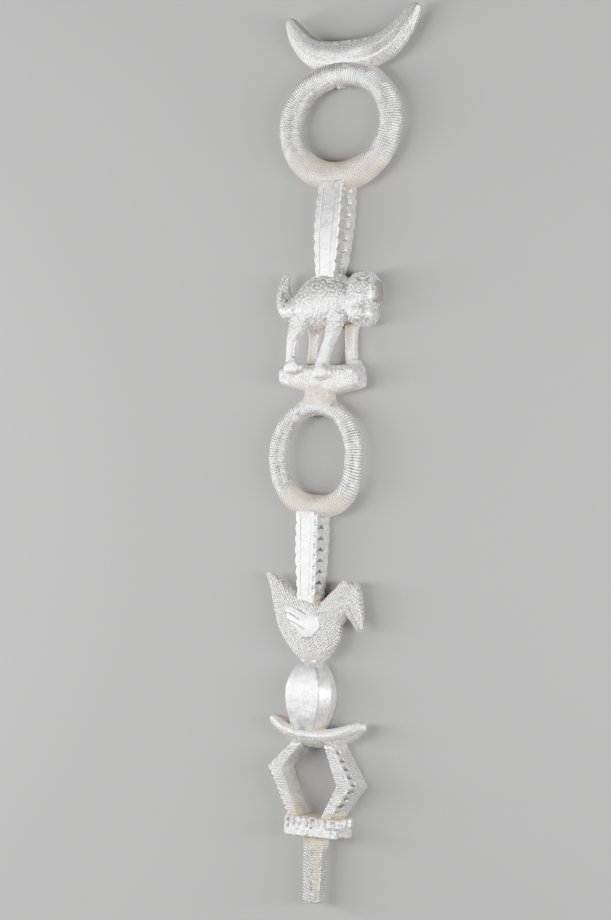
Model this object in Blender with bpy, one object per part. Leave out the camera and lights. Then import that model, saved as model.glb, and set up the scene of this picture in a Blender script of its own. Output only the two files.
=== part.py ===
"""Ceremonial staff, carved in wood in one piece. It lies on its back: +Y runs from the grip to the horns, +X to the
side that the two animals face, and +Z out of the carved front."""

import math

import bmesh
import bpy
import numpy as np
from mathutils import Vector

# Sizes in metres. Widths are along X, depths along Z, and lengths, heights and thicknesses along Y.

# Grip: eight flats, thicker toward the foot plate
GRIP_LENGTH = 0.0740
GRIP_END_WIDTH = 0.0235
GRIP_TOP_WIDTH = 0.0275
GRIP_SIDES = 8

# Foot plate: a block with a row of notches along each side
FOOT_WIDTH = 0.0705
FOOT_DEPTH = 0.0420
FOOT_THICKNESS = 0.0215
FOOT_CORNER = 0.0050
FOOT_NOTCH_PITCH = 0.0080
FOOT_NOTCH_DEPTH = 0.0022

# Open frame of two bent arms
FRAME_HEIGHT = 0.0780
FRAME_END_WIDTH = 0.0610
FRAME_ELBOW_WIDTH = 0.1170
ELBOW_RISE_LEFT = 0.0505
ELBOW_RISE_RIGHT = 0.0370
ARM_WIDTH = 0.0210
ARM_BACK_WIDTH = 0.0135
ARM_END_WIDTH = 0.0140
ARM_DEPTH = 0.0340
ARM_END_DEPTH = 0.0285
ARM_NOTCH_PITCH = 0.0083
ARM_NOTCH_DEPTH = 0.0020

# Small crescent under the disc
SMALL_HORN_SPAN = 0.1290
SMALL_HORN_THICKNESS = 0.0200
SMALL_HORN_DEPTH = 0.0270
SMALL_HORN_RISE = 0.0200
SMALL_HORN_TIP = 0.0075

# Disc
DISC_HEIGHT = 0.0760
DISC_WIDTH = 0.0620
DISC_DEPTH = 0.0345
DISC_NECK_WIDTH = 0.0230
DISC_NECK_DEPTH = 0.0170
DISC_FOOT_WIDTH = 0.0330
DISC_FOOT_DEPTH = 0.0240

# Bird
BIRD_HEIGHT = 0.0750
BIRD_LENGTH = 0.0900
BIRD_DEPTH = 0.0330
BIRD_TAIL_RISE = 0.0965
BIRD_HEAD_DEPTH = 0.0260
WING_DEPTH = 0.0020

# Lower shaft
LOWER_SHAFT_LENGTH = 0.0915
LOWER_SHAFT_FOOT = 0.0222
LOWER_SHAFT_MIDDLE = 0.0275
LOWER_SHAFT_TOP = 0.0287
LOWER_CHIP_PITCH = 0.0121

# Lower ring
LOWER_HOLE_WIDTH = 0.0842
LOWER_HOLE_LENGTH = 0.0885
LOWER_HOLE_CORNER = 0.1400
LOWER_RING_THICKNESS = 0.0208
LOWER_RING_FOOT = 0.0265

# Leopard and the plate that it stands on
PLATE_WIDTH = 0.1090
PLATE_DEPTH = 0.0220
PLATE_THICKNESS = 0.0230
PLATE_NECK_WIDTH = 0.0370
PLATE_NECK_DEPTH = 0.0250
PLATE_NECK_HEIGHT = 0.0120
LEG_HEIGHT = 0.0400
LEG_WIDTH = 0.0120
LEOPARD_LENGTH = 0.0800
LEOPARD_HEIGHT = 0.0620
LEOPARD_DEPTH = 0.0385
LEOPARD_HEAD_WIDTH = 0.0370
LEOPARD_HEAD_HEIGHT = 0.0600
LEOPARD_HEAD_DEPTH = 0.0370
TAIL_WIDTH = 0.0150
EYE_WIDTH = 0.0090
EYE_DEPTH = 0.0012

# Upper shaft
UPPER_SHAFT_LENGTH = 0.0970
UPPER_SHAFT_FOOT = 0.0250
UPPER_SHAFT_MIDDLE = 0.0340
UPPER_SHAFT_TOP = 0.0318
UPPER_CHIP_PITCH = 0.0136

# Both shafts
PANEL_SHARE = 0.50
PANEL_DEPTH = 0.0010
SCALLOP_DEPTH = 0.0016
CHIP_DEPTH = 0.0024

# Upper ring
UPPER_HOLE_WIDTH = 0.1112
UPPER_HOLE_LENGTH = 0.0858
UPPER_RING_THICKNESS = 0.0268
UPPER_RING_FOOT = 0.0330
UPPER_RING_CROWN = 0.0295
NUB_WIDTH = 0.0150
NUB_DROP = 0.0040

# Horns at the top
HORN_SPAN_LEFT = 0.0870
HORN_SPAN_RIGHT = 0.0900
HORN_THICKNESS = 0.0340
HORN_DEPTH = 0.0240
HORN_RISE_LEFT = 0.0505
HORN_RISE_RIGHT = 0.0515
HORN_TIP = 0.0070
HORN_SINK = 0.0145

# How far two forms run into each other
JOIN = 0.0080

# How much is shaved off the back, so that the staff lies flat on its plate and on the leopard's flank
BACK_SHAVING = 0.0005
REST_DEPTH = min(FOOT_DEPTH, LEOPARD_DEPTH) / 2 - BACK_SHAVING

# The axis wanders to one side, as the branch that it was carved from did: the offset of each form along X
GRIP_LEAN = 0.0010
FOOT_SHIFT = 0.0030
FRAME_SHIFT = -0.0010
SMALL_HORN_SHIFT = -0.0040
DISC_SHIFT = -0.0150
BIRD_SHIFT = -0.0160
LOWER_SHAFT_SHIFT = -0.0215
LOWER_RING_SHIFT = -0.0236
PLATE_SHIFT = -0.0196
LEOPARD_SHIFT = -0.0178
UPPER_SHAFT_SHIFT = -0.0145
UPPER_RING_SHIFT = -0.0100
HORN_SHIFT = -0.0020

# Heights of the forms along the staff
FOOT_Y = GRIP_LENGTH
FRAME_Y = FOOT_Y + FOOT_THICKNESS
SMALL_HORN_Y = FRAME_Y + FRAME_HEIGHT
DISC_Y = SMALL_HORN_Y + SMALL_HORN_THICKNESS * 0.75
BIRD_Y = DISC_Y + DISC_HEIGHT
LOWER_SHAFT_Y = BIRD_Y + BIRD_HEIGHT - JOIN
LOWER_RING_Y = LOWER_SHAFT_Y + LOWER_SHAFT_LENGTH
PLATE_NECK_Y = LOWER_RING_Y + LOWER_RING_FOOT + LOWER_HOLE_LENGTH + LOWER_RING_THICKNESS
PLATE_Y = PLATE_NECK_Y + PLATE_NECK_HEIGHT
LEOPARD_Y = PLATE_Y + PLATE_THICKNESS + LEG_HEIGHT
UPPER_SHAFT_Y = LEOPARD_Y + LEOPARD_HEIGHT - JOIN / 2
UPPER_RING_Y = UPPER_SHAFT_Y + UPPER_SHAFT_LENGTH
HORN_Y = UPPER_RING_Y + UPPER_RING_FOOT + UPPER_HOLE_LENGTH + UPPER_RING_CROWN


def material():
    """Silver leaf over wood."""
    made = bpy.data.materials.new("silver_leaf")
    made.use_nodes = True
    shader = made.node_tree.nodes["Principled BSDF"]
    shader.inputs["Base Color"].default_value = (0.62, 0.61, 0.58, 1)
    shader.inputs["Metallic"].default_value = 0.6
    shader.inputs["Roughness"].default_value = 0.45
    made.diffuse_color = (0.62, 0.61, 0.58, 1)
    return made


def superellipse(half_width, half_depth, sides, power=2.0):
    """Points around a rounded section, as (across, depth) pairs. A flat faces each way, not a corner."""
    points = []
    for index in range(sides):
        angle = 2 * math.pi * (index + 0.5) / sides
        cos, sin = math.cos(angle), math.sin(angle)
        across = math.copysign(abs(cos) ** (2 / power), cos) * half_width
        depth = math.copysign(abs(sin) ** (2 / power), sin) * half_depth
        points.append((across, depth))
    return points


def skin(name, rings, loop=False):
    """A closed object through rings of points, with both ends capped, or joined end to start for a loop."""
    shape = bmesh.new()
    rows = [[shape.verts.new(point) for point in ring] for ring in rings]
    pairs = list(zip(rows, rows[1:]))
    if loop:
        pairs.append((rows[-1], rows[0]))
    else:
        shape.faces.new(rows[0])
        shape.faces.new(rows[-1])
    for low, high in pairs:
        for index in range(len(low)):
            after = (index + 1) % len(low)
            shape.faces.new((low[index], low[after], high[after], high[index]))
    bmesh.ops.triangulate(shape, faces=shape.faces)
    bmesh.ops.recalc_face_normals(shape, faces=shape.faces)
    if shape.calc_volume(signed=True) < 0:
        bmesh.ops.reverse_faces(shape, faces=shape.faces)
    mesh = bpy.data.meshes.new(name)
    shape.to_mesh(mesh)
    shape.free()
    return bpy.data.objects.new(name, mesh)


def upright(name, levels, sides=14, power=2.0):
    """A form built up along Y. Each level is (y, centre x, half width, centre z, half depth)."""
    rings = []
    for y, x, half_width, z, half_depth in levels:
        section = superellipse(half_width, half_depth, sides, power)
        rings.append([(x + across, y, z + depth) for across, depth in section])
    return skin(name, rings)


def along(name, path, sections):
    """A form that follows a path in the XY plane. Each section is a list of (across the path, depth) pairs."""
    rings = []
    for index, here in enumerate(path):
        before = path[max(index - 1, 0)]
        after = path[min(index + 1, len(path) - 1)]
        heading = (Vector(after) - Vector(before)).normalized()
        side = Vector((heading.y, -heading.x, 0))
        ring = [Vector(here) + side * across + Vector((0, 0, depth)) for across, depth in sections[index]]
        rings.append(ring)
    return skin(name, rings)


def spline(points, steps):
    """Points on a smooth curve through the given ones, with the given number of steps between two of them."""
    ends = [2 * Vector(points[0]) - Vector(points[1])]
    ends += [Vector(point) for point in points]
    ends += [2 * Vector(points[-1]) - Vector(points[-2])]
    curve = []
    for a, b, c, d in zip(ends, ends[1:], ends[2:], ends[3:]):
        for step in range(steps):
            t = step / steps
            curve.append(
                0.5 * (2 * b + (c - a) * t + (2 * a - 5 * b + 4 * c - d) * t**2 + (3 * b - a - 3 * c + d) * t**3)
            )
    curve.append(ends[-2])
    return curve


def ring(name, middle, hole, thickness, foot, crown, foot_depth, corner=0.0, segments=36, sides=12):
    """An oval ring lying in the XY plane. It is thicker at its foot and crown, and as deep at the foot as its shaft."""
    rings = []
    for index in range(segments):
        angle = 2 * math.pi * index / segments
        out = Vector((math.cos(angle), math.sin(angle), 0))
        end = foot if out.y < 0 else crown
        wide = thickness + (end - thickness) * out.y**2
        deep = thickness + (foot_depth - thickness) * max(0, -out.y) ** 3
        bulge = 1 + corner * (2 * max(0, out.x) * max(0, -out.y)) ** 2
        inner = Vector(middle) + Vector((hole[0] / 2 * out.x, hole[1] / 2 * out.y, 0)) * bulge
        centre = inner + out * wide / 2
        section = superellipse(wide / 2, deep / 2, sides)
        rings.append([centre + out * across + Vector((0, 0, depth)) for across, depth in section])
    return skin(name, rings, loop=True)


def slab(name, outline, low_z, high_z):
    """A flat outline in the XY plane, raised from one height to another."""
    return skin(name, [[(x, y, z) for x, y in outline] for z in (low_z, high_z)])


def diamond(name, centre, half_x, half_y, half_z):
    """A double pyramid, which cuts a four-sided notch into a face or an edge."""
    shape = bmesh.new()
    bmesh.ops.create_uvsphere(shape, u_segments=4, v_segments=2, radius=1)
    for vert in shape.verts:
        vert.co = Vector((vert.co.x * half_x, vert.co.y * half_y, vert.co.z * half_z)) + Vector(centre)
    mesh = bpy.data.meshes.new(name)
    shape.to_mesh(mesh)
    shape.free()
    return bpy.data.objects.new(name, mesh)


def chip(name, tip, edge):
    """A cutter that narrows from beyond the face of the wood, through the chip's edge, to its deepest point."""
    shape = bmesh.new()
    deepest = shape.verts.new(tip)
    outer = [shape.verts.new(Vector(tip).lerp(Vector(point), 1.6)) for point in edge]
    shape.faces.new(outer)
    for one, other in zip(outer, outer[1:] + outer[:1]):
        shape.faces.new((one, other, deepest))
    bmesh.ops.recalc_face_normals(shape, faces=shape.faces)
    mesh = bpy.data.meshes.new(name)
    shape.to_mesh(mesh)
    shape.free()
    return bpy.data.objects.new(name, mesh)


def steps_between(start, end, pitch):
    """Centres of as many equal steps of about the given pitch as fit between two places."""
    count = max(1, round((end - start) / pitch))
    step = (end - start) / count
    return [start + (index + 0.5) * step for index in range(count)]


# Grip and foot plate


def grip():
    corner = 1 / math.cos(math.pi / GRIP_SIDES) / 2
    levels = (
        (0, 0, GRIP_END_WIDTH),
        (GRIP_LENGTH, GRIP_LEAN, GRIP_TOP_WIDTH),
        (GRIP_LENGTH + FOOT_THICKNESS / 2, GRIP_LEAN, GRIP_TOP_WIDTH),
    )
    rows = [(y, x, width * corner, 0, width * corner) for y, x, width in levels]
    return [upright("grip", rows, GRIP_SIDES)]


def foot_plate():
    half_width = FOOT_WIDTH / 2
    half_depth = FOOT_DEPTH / 2
    edge = FOOT_CORNER / 3
    levels = (
        (FOOT_Y, edge),
        (FOOT_Y + edge, 0),
        (FRAME_Y - edge, 0),
        (FRAME_Y, edge),
    )
    rings = []
    for y, inset in levels:
        x, z = half_width - inset, half_depth - inset
        c = FOOT_CORNER
        corners = ((x, z - c), (x - c, z), (c - x, z), (-x, z - c), (-x, c - z), (c - x, -z), (x - c, -z), (x, c - z))
        rings.append([(FOOT_SHIFT + across, y, depth) for across, depth in corners])
    return [skin("foot_plate", rings)]


def foot_notches():
    """Upright notches in the upper half of the plate's front and ends, over a groove round the ends."""
    cuts = []
    top = FRAME_Y - FOOT_THICKNESS / 4
    tall = FOOT_THICKNESS * 0.45
    half = FOOT_NOTCH_PITCH * 0.42
    for x in steps_between(-FOOT_WIDTH / 2 + FOOT_CORNER, FOOT_WIDTH / 2 - FOOT_CORNER, FOOT_NOTCH_PITCH):
        place = (FOOT_SHIFT + x, top, FOOT_DEPTH / 2)
        cuts.append(diamond("foot_notch", place, half, tall, FOOT_NOTCH_DEPTH))
    for side in (-1, 1):
        edge = FOOT_SHIFT + side * FOOT_WIDTH / 2
        for z in steps_between(-FOOT_DEPTH / 2 + FOOT_CORNER, FOOT_DEPTH / 2 - FOOT_CORNER, FOOT_NOTCH_PITCH):
            cuts.append(diamond("foot_notch", (edge, top, z), FOOT_NOTCH_DEPTH, tall, half))
    return cuts


# Open frame


def arm_section(outer, inner, inner_back, half_depth, side):
    """Six corners of an arm: chamfered outside, and narrower at the back than at the front."""
    chamfer = 0.12 * half_depth
    corners = (
        (outer, chamfer - half_depth),
        (outer, half_depth - chamfer),
        (outer - chamfer, half_depth),
        (inner, half_depth),
        (inner_back, -half_depth),
        (outer - chamfer, -half_depth),
    )
    return [(FRAME_SHIFT + side * across, depth) for across, depth in corners]


def frame_arms():
    top = SMALL_HORN_Y + SMALL_HORN_THICKNESS * 0.6
    low = FRAME_Y - FOOT_THICKNESS / 2
    arms = []
    for side, rise in ((-1, ELBOW_RISE_LEFT), (1, ELBOW_RISE_RIGHT)):
        end = (FRAME_END_WIDTH / 2, ARM_END_WIDTH, ARM_END_WIDTH * ARM_BACK_WIDTH / ARM_WIDTH, ARM_END_DEPTH / 2)
        elbow = (FRAME_ELBOW_WIDTH / 2, ARM_WIDTH, ARM_BACK_WIDTH, ARM_DEPTH / 2)
        hidden = (FRAME_END_WIDTH * 0.42, ARM_END_WIDTH / 2, ARM_END_WIDTH / 2, SMALL_HORN_DEPTH / 4)
        stations = (
            (low, end),
            (FRAME_Y, end),
            (FRAME_Y + rise, elbow),
            (SMALL_HORN_Y, end),
            (top, hidden),
        )
        rings = []
        for y, (outer, front, back, half_depth) in stations:
            section = arm_section(outer, outer - front, outer - back, half_depth, side)
            rings.append([(x, y, z) for x, z in section])
        arms.append(skin("frame_arm", rings))
    return arms


def arm_notches():
    """A ladder of notches along the outer front edge of each arm."""
    cuts = []
    for side, rise in ((-1, ELBOW_RISE_LEFT), (1, ELBOW_RISE_RIGHT)):
        for start, end in ((FRAME_Y, FRAME_Y + rise), (SMALL_HORN_Y, FRAME_Y + rise)):
            for share in steps_between(0.08, 0.94, ARM_NOTCH_PITCH / abs(end - start)):
                y = start + share * (end - start)
                outer = FRAME_END_WIDTH / 2 + share * (FRAME_ELBOW_WIDTH - FRAME_END_WIDTH) / 2
                half_depth = ARM_END_DEPTH / 2 + share * (ARM_DEPTH - ARM_END_DEPTH) / 2
                place = (FRAME_SHIFT + side * outer, y, half_depth * 0.7)
                cuts.append(diamond("arm_notch", place, ARM_NOTCH_DEPTH, ARM_NOTCH_PITCH * 0.38, half_depth * 0.27))
    return cuts


# Crescents


def horn_section(thickness, depth):
    """A horn's section: flat on top, and round in front, below and behind."""
    corners = (
        (-0.50, -0.40),
        (-0.50, 0.40),
        (-0.15, 0.50),
        (0.22, 0.43),
        (0.50, 0.16),
        (0.50, -0.16),
        (0.22, -0.43),
        (-0.15, -0.50),
    )
    return [(across * thickness, deep * depth) for across, deep in corners]


def crescent(name, shift, low_y, left, right, thickness, depth, rise_left, rise_right, tip, bend, steps=8):
    """Two horns that rise from a level middle and taper to rounded tips."""
    path, sections = [], []
    for index in range(-steps, steps + 1):
        share = math.sin(math.pi / 2 * index / steps)
        reach, rise = (left, rise_left) if index < 0 else (right, rise_right)
        path.append((shift + share * reach, low_y + thickness / 2 + rise * abs(share) ** bend, 0))
        taper = (1 - abs(share) ** 3) ** 0.6
        sections.append(horn_section(tip + (thickness - tip) * taper, tip + (depth - tip) * taper))
    for end in (0, -1):
        sections[end] = [(across * 0.55, deep * 0.55) for across, deep in sections[end]]
    return [along(name, path, sections)]


def small_crescent():
    half = SMALL_HORN_SPAN / 2
    return crescent(
        "small_crescent",
        SMALL_HORN_SHIFT,
        SMALL_HORN_Y - SMALL_HORN_THICKNESS * 0.15,
        half,
        half,
        SMALL_HORN_THICKNESS,
        SMALL_HORN_DEPTH,
        SMALL_HORN_RISE,
        SMALL_HORN_RISE,
        SMALL_HORN_TIP,
        2.2,
    )


def top_crescent():
    return crescent(
        "top_crescent",
        HORN_SHIFT,
        HORN_Y - HORN_SINK,
        HORN_SPAN_LEFT,
        HORN_SPAN_RIGHT,
        HORN_THICKNESS,
        HORN_DEPTH,
        HORN_RISE_LEFT,
        HORN_RISE_RIGHT,
        HORN_TIP,
        3.2,
        steps=10,
    )


# Disc


def disc():
    levels = [(DISC_Y - JOIN, DISC_SHIFT, DISC_FOOT_WIDTH / 2, 0, DISC_FOOT_DEPTH / 2)]
    for share in (0, 0.12, 0.26, 0.4, 0.54, 0.68, 0.8, 0.9, 1):
        swell = math.sin(math.pi * share) ** 0.7
        foot_width = DISC_FOOT_WIDTH + share * (DISC_NECK_WIDTH - DISC_FOOT_WIDTH)
        foot_depth = DISC_FOOT_DEPTH + share * (DISC_NECK_DEPTH - DISC_FOOT_DEPTH)
        width = foot_width + swell * (DISC_WIDTH - foot_width)
        depth = foot_depth + swell * (DISC_DEPTH - foot_depth)
        levels.append((DISC_Y + share * DISC_HEIGHT, DISC_SHIFT, width / 2, 0, depth / 2))
    levels.append((BIRD_Y + JOIN, DISC_SHIFT, DISC_NECK_WIDTH / 2, 0, DISC_NECK_DEPTH / 2))
    return [upright("disc", levels, 16, 4.5)]


# Bird, in shares of its own height, length and depth


BIRD_BODY = (
    # height, left side, right side, depth
    (-0.06, -0.130, 0.145, 0.50),
    (0.00, -0.140, 0.160, 0.52),
    (0.10, -0.255, 0.265, 0.70),
    (0.25, -0.375, 0.370, 0.86),
    (0.40, -0.470, 0.415, 0.95),
    (0.55, -0.535, 0.420, 1.00),
    (0.68, -0.570, 0.420, 0.97),
    (0.80, -0.605, 0.330, 0.88),
    (0.91, -0.640, 0.080, 0.72),
)
BIRD_TAIL = (
    # share of the tail's rise above the back, left side, right side, depth
    (0.00, -0.655, -0.210, 0.56),
    (0.35, -0.690, -0.400, 0.44),
    (0.78, -0.740, -0.560, 0.34),
    (0.90, -0.760, -0.620, 0.30),
    (1.00, -0.720, -0.640, 0.26),
)
BIRD_HEAD = (
    # height, left side, right side, share of the head's depth
    (0.470, 0.690, 0.720, 0.16),
    (0.525, 0.640, 0.745, 0.30),
    (0.610, 0.580, 0.748, 0.44),
    (0.690, 0.500, 0.746, 0.62),
    (0.790, 0.420, 0.735, 0.84),
    (0.900, 0.350, 0.712, 1.00),
    (1.040, 0.335, 0.690, 0.98),
    (1.150, 0.370, 0.650, 0.80),
    (1.220, 0.430, 0.590, 0.52),
)
WING = (
    # across, height: the smooth shoulder, then four feathers with three slots between them
    (0.080, 0.262),
    (0.232, 0.440),
    (0.238, 0.512),
    (0.172, 0.640),
    (0.150, 0.787),
    (0.000, 0.880),
    (-0.155, 0.906),
    (-0.440, 0.850),
    (-0.415, 0.776),
    (-0.045, 0.640),
    (-0.400, 0.738),
    (-0.366, 0.652),
    (-0.110, 0.556),
    (-0.345, 0.610),
    (-0.312, 0.530),
    (-0.028, 0.404),
    (-0.300, 0.490),
    (-0.290, 0.425),
    (-0.180, 0.325),
    (-0.068, 0.272),
    (0.000, 0.292),
)


def bird_levels(extra_depth=0.0):
    """Levels of the body and tail, from the neck of the disc to the tip of the tail."""
    back = BIRD_Y + BIRD_HEIGHT
    rows = [(BIRD_Y + height * BIRD_HEIGHT, left, right, deep) for height, left, right, deep in BIRD_BODY]
    tail_rise = BIRD_TAIL_RISE - BIRD_HEIGHT
    rows += [(back + height * tail_rise, left, right, deep) for height, left, right, deep in BIRD_TAIL]
    levels = []
    for y, left, right, deep in rows:
        middle = BIRD_SHIFT + (left + right) / 2 * BIRD_LENGTH
        half_width = (right - left) / 2 * BIRD_LENGTH
        levels.append((y, middle, half_width, 0, deep * BIRD_DEPTH / 2 + extra_depth))
    return levels


def bird():
    body = upright("bird_body", bird_levels(), 16, 2.3)
    low = Vector((BIRD_SHIFT + 0.18 * BIRD_LENGTH, BIRD_Y + 0.62 * BIRD_HEIGHT, 0))
    high = Vector((BIRD_SHIFT + 0.54 * BIRD_LENGTH, BIRD_Y + 1.02 * BIRD_HEIGHT, 0))
    stations = ((0, 0.19, 0.47), (0.45, 0.19, 0.43), (0.8, 0.185, 0.40), (1, 0.15, 0.33))
    path = [low.lerp(high, share) for share, _, _ in stations]
    neck = along(
        "bird_neck", path, [superellipse(wide * BIRD_LENGTH, deep * BIRD_DEPTH, 12, 2.2) for _, wide, deep in stations]
    )
    levels = []
    for height, left, right, deep in BIRD_HEAD:
        middle = BIRD_SHIFT + (left + right) / 2 * BIRD_LENGTH
        half_width = (right - left) / 2 * BIRD_LENGTH
        y = BIRD_Y + BIRD_HEIGHT * height
        levels.append((y, middle, half_width, 0, deep * BIRD_HEAD_DEPTH / 2))
    head = upright("bird_head", levels, 12, 2.2)
    return [body, neck, head, wings()]


def wings():
    """A smooth panel on each flank, cut into four feathers, which stands a little above the body."""
    panel = upright("wings", bird_levels(WING_DEPTH), 16, 2.3)
    outline = [(BIRD_SHIFT + across * BIRD_LENGTH, BIRD_Y + height * BIRD_HEIGHT) for across, height in WING]
    limit = slab("wing_outline", outline, -BIRD_DEPTH, BIRD_DEPTH)
    as_helper(limit, bpy.context.scene.collection)
    add_boolean(panel, "INTERSECT", limit)
    return panel


# Shafts


def shaft_section(half, scallop):
    """A square section: a sunk panel front and back, and corners cut back by the scallop."""
    panel = PANEL_SHARE * half
    slope = PANEL_DEPTH
    corner = 0.06 * half + scallop
    front = (
        (half, half - corner),
        (half - corner, half),
        (panel + slope, half),
        (panel, half - PANEL_DEPTH),
        (-panel, half - PANEL_DEPTH),
        (-panel - slope, half),
        (corner - half, half),
        (-half, half - corner),
    )
    return list(front) + [(-across, -depth) for across, depth in front]


def shaft(name, shift_low, shift_high, low_y, high_y, foot, middle, top, pitch):
    """A square shaft with scalloped corners, which swells toward the middle."""

    def size_at(y):
        share = (y - low_y) / (high_y - low_y)
        ends = foot + share * (top - foot)
        swell = middle - (foot + top) / 2
        return (ends + swell * math.sin(math.pi * min(max(share, 0), 1))) / 2

    def shift_at(y):
        share = (y - low_y) / (high_y - low_y)
        return shift_low + share * (shift_high - shift_low)

    centres = steps_between(low_y, high_y, pitch)
    half_step = (centres[1] - centres[0]) / 2
    levels = [(low_y - JOIN, 0)]
    for y in centres:
        levels.append((y - half_step, SCALLOP_DEPTH))
        levels.append((y, 0))
    levels.append((high_y, SCALLOP_DEPTH))
    levels.append((high_y + JOIN, 0))
    rings = []
    for y, scallop in levels:
        section = shaft_section(size_at(y), scallop)
        rings.append([(shift_at(y) + across, y, depth) for across, depth in section])
    rings[-1] = [(shift_at(high_y) + across / 2, y, depth / 2) for across, depth in section]
    return skin(name, rings), centres, size_at, shift_at


def lower_shaft_shape():
    high_y = LOWER_RING_Y + LOWER_RING_FOOT * 0.25
    return shaft(
        "lower_shaft",
        LOWER_SHAFT_SHIFT,
        LOWER_RING_SHIFT,
        LOWER_SHAFT_Y,
        high_y,
        LOWER_SHAFT_FOOT,
        LOWER_SHAFT_MIDDLE,
        LOWER_SHAFT_TOP,
        LOWER_CHIP_PITCH,
    )


def upper_shaft_shape():
    high_y = UPPER_RING_Y + UPPER_RING_FOOT * 0.25
    return shaft(
        "upper_shaft",
        UPPER_SHAFT_SHIFT,
        UPPER_RING_SHIFT,
        UPPER_SHAFT_Y,
        high_y,
        UPPER_SHAFT_FOOT,
        UPPER_SHAFT_MIDDLE,
        UPPER_SHAFT_TOP,
        UPPER_CHIP_PITCH,
    )


def diamond_chips(shape, forward, tall, wide):
    """A column of four-sided pits down both sides of a shaft: how far they stand to the front, and their size."""
    _, centres, size_at, shift_at = shape
    cuts = []
    for y in centres:
        half = size_at(y)
        for side in (-1, 1):
            place = (shift_at(y) + side * half, y, forward * half)
            cuts.append(diamond("diamond_chip", place, CHIP_DEPTH, tall / 2, wide * half))
    return cuts


def triangle_chips(shape, forward, tall, wide):
    """A column of three-sided chips, which deepen toward the grip and end there in a step."""
    _, centres, size_at, shift_at = shape
    cuts = []
    for y in centres:
        half = size_at(y)
        z = forward * half
        for side in (-1, 1):
            face = shift_at(y) + side * half
            high, low = y + tall / 2, y - tall / 2
            edge = ((face, high, z), (face, low, z + wide * half), (face, low, z - wide * half))
            tip = (face - side * CHIP_DEPTH, low + tall * 0.16, z)
            cuts.append(chip("triangle_chip", tip, edge))
    return cuts


# Rings


def lower_ring():
    return [
        ring(
            "lower_ring",
            (LOWER_RING_SHIFT, LOWER_RING_Y + LOWER_RING_FOOT + LOWER_HOLE_LENGTH / 2, 0),
            (LOWER_HOLE_WIDTH, LOWER_HOLE_LENGTH),
            LOWER_RING_THICKNESS,
            LOWER_RING_FOOT,
            LOWER_RING_THICKNESS,
            LOWER_SHAFT_TOP + PANEL_DEPTH,
            LOWER_HOLE_CORNER,
        )
    ]


def upper_ring():
    round_ring = ring(
        "upper_ring",
        (UPPER_RING_SHIFT, UPPER_RING_Y + UPPER_RING_FOOT + UPPER_HOLE_LENGTH / 2, 0),
        (UPPER_HOLE_WIDTH, UPPER_HOLE_LENGTH),
        UPPER_RING_THICKNESS,
        UPPER_RING_FOOT,
        UPPER_RING_CROWN,
        UPPER_SHAFT_TOP + PANEL_DEPTH,
    )
    inner_top = HORN_Y - UPPER_RING_CROWN
    nub = upright(
        "nub",
        (
            (inner_top - NUB_DROP, UPPER_RING_SHIFT, NUB_WIDTH * 0.3, 0, NUB_WIDTH * 0.2),
            (inner_top - NUB_DROP * 0.5, UPPER_RING_SHIFT, NUB_WIDTH * 0.45, 0, NUB_WIDTH * 0.34),
            (inner_top + NUB_DROP, UPPER_RING_SHIFT, NUB_WIDTH * 0.5, 0, NUB_WIDTH * 0.4),
        ),
        8,
    )
    return [round_ring, nub]


# Leopard and its plate, the leopard in shares of its own length, height and depth


LEOPARD_BODY = (
    # along, middle height, half height, depth
    (-0.545, 0.400, 0.090, 0.45),
    (-0.500, 0.370, 0.190, 0.68),
    (-0.400, 0.408, 0.343, 0.88),
    (-0.270, 0.465, 0.445, 0.98),
    (-0.100, 0.515, 0.510, 1.00),
    (0.090, 0.530, 0.510, 1.00),
    (0.270, 0.530, 0.440, 0.96),
    (0.400, 0.520, 0.380, 0.86),
    (0.540, 0.510, 0.330, 0.74),
)
LEOPARD_HEAD = (
    # height, left side, right side, depth, in shares of the head
    (0.000, -0.16, 0.22, 0.42),
    (0.050, -0.32, 0.34, 0.66),
    (0.140, -0.44, 0.44, 0.84),
    (0.240, -0.50, 0.46, 0.92),
    (0.315, -0.51, 0.43, 0.94),
    (0.345, -0.50, 0.38, 0.84),
    (0.375, -0.51, 0.46, 0.95),
    (0.480, -0.53, 0.55, 1.00),
    (0.620, -0.53, 0.57, 1.00),
    (0.760, -0.50, 0.54, 0.95),
    (0.880, -0.42, 0.45, 0.82),
    (0.960, -0.28, 0.31, 0.60),
    (1.000, -0.10, 0.14, 0.30),
)
TAIL = (
    # along, height, width
    (-0.424, 0.400, 2.10),
    (-0.544, 0.360, 1.90),
    (-0.654, 0.380, 1.60),
    (-0.724, 0.510, 1.35),
    (-0.754, 0.680, 1.05),
    (-0.744, 0.880, 0.75),
    (-0.724, 1.030, 0.40),
)
LEGS = (
    # along at the hip, the knee and the foot, thigh width, how far the paw laps down, front or back
    (-0.330, -0.460, -0.465, 2.3, 0.08, 1),
    (0.310, 0.165, 0.030, 1.8, 0.34, 1),
    (-0.220, -0.265, -0.300, 2.8, 0.15, -1),
    (0.350, 0.360, 0.390, 1.3, 0.15, -1),
)


def leopard_point(along_share, height_share, z=0.0):
    return Vector((LEOPARD_SHIFT + along_share * LEOPARD_LENGTH, LEOPARD_Y + height_share * LEOPARD_HEIGHT, z))


def leopard_body():
    rings = []
    for share, middle, half_height, deep in LEOPARD_BODY:
        centre = leopard_point(share, middle)
        section = superellipse(half_height * LEOPARD_HEIGHT, deep * LEOPARD_DEPTH / 2, 14, 2.2)
        rings.append([centre + Vector((0, up, depth)) for up, depth in section])
    return skin("leopard_body", rings)


def head_centre():
    return leopard_point(0.63, 0.53)


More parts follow.
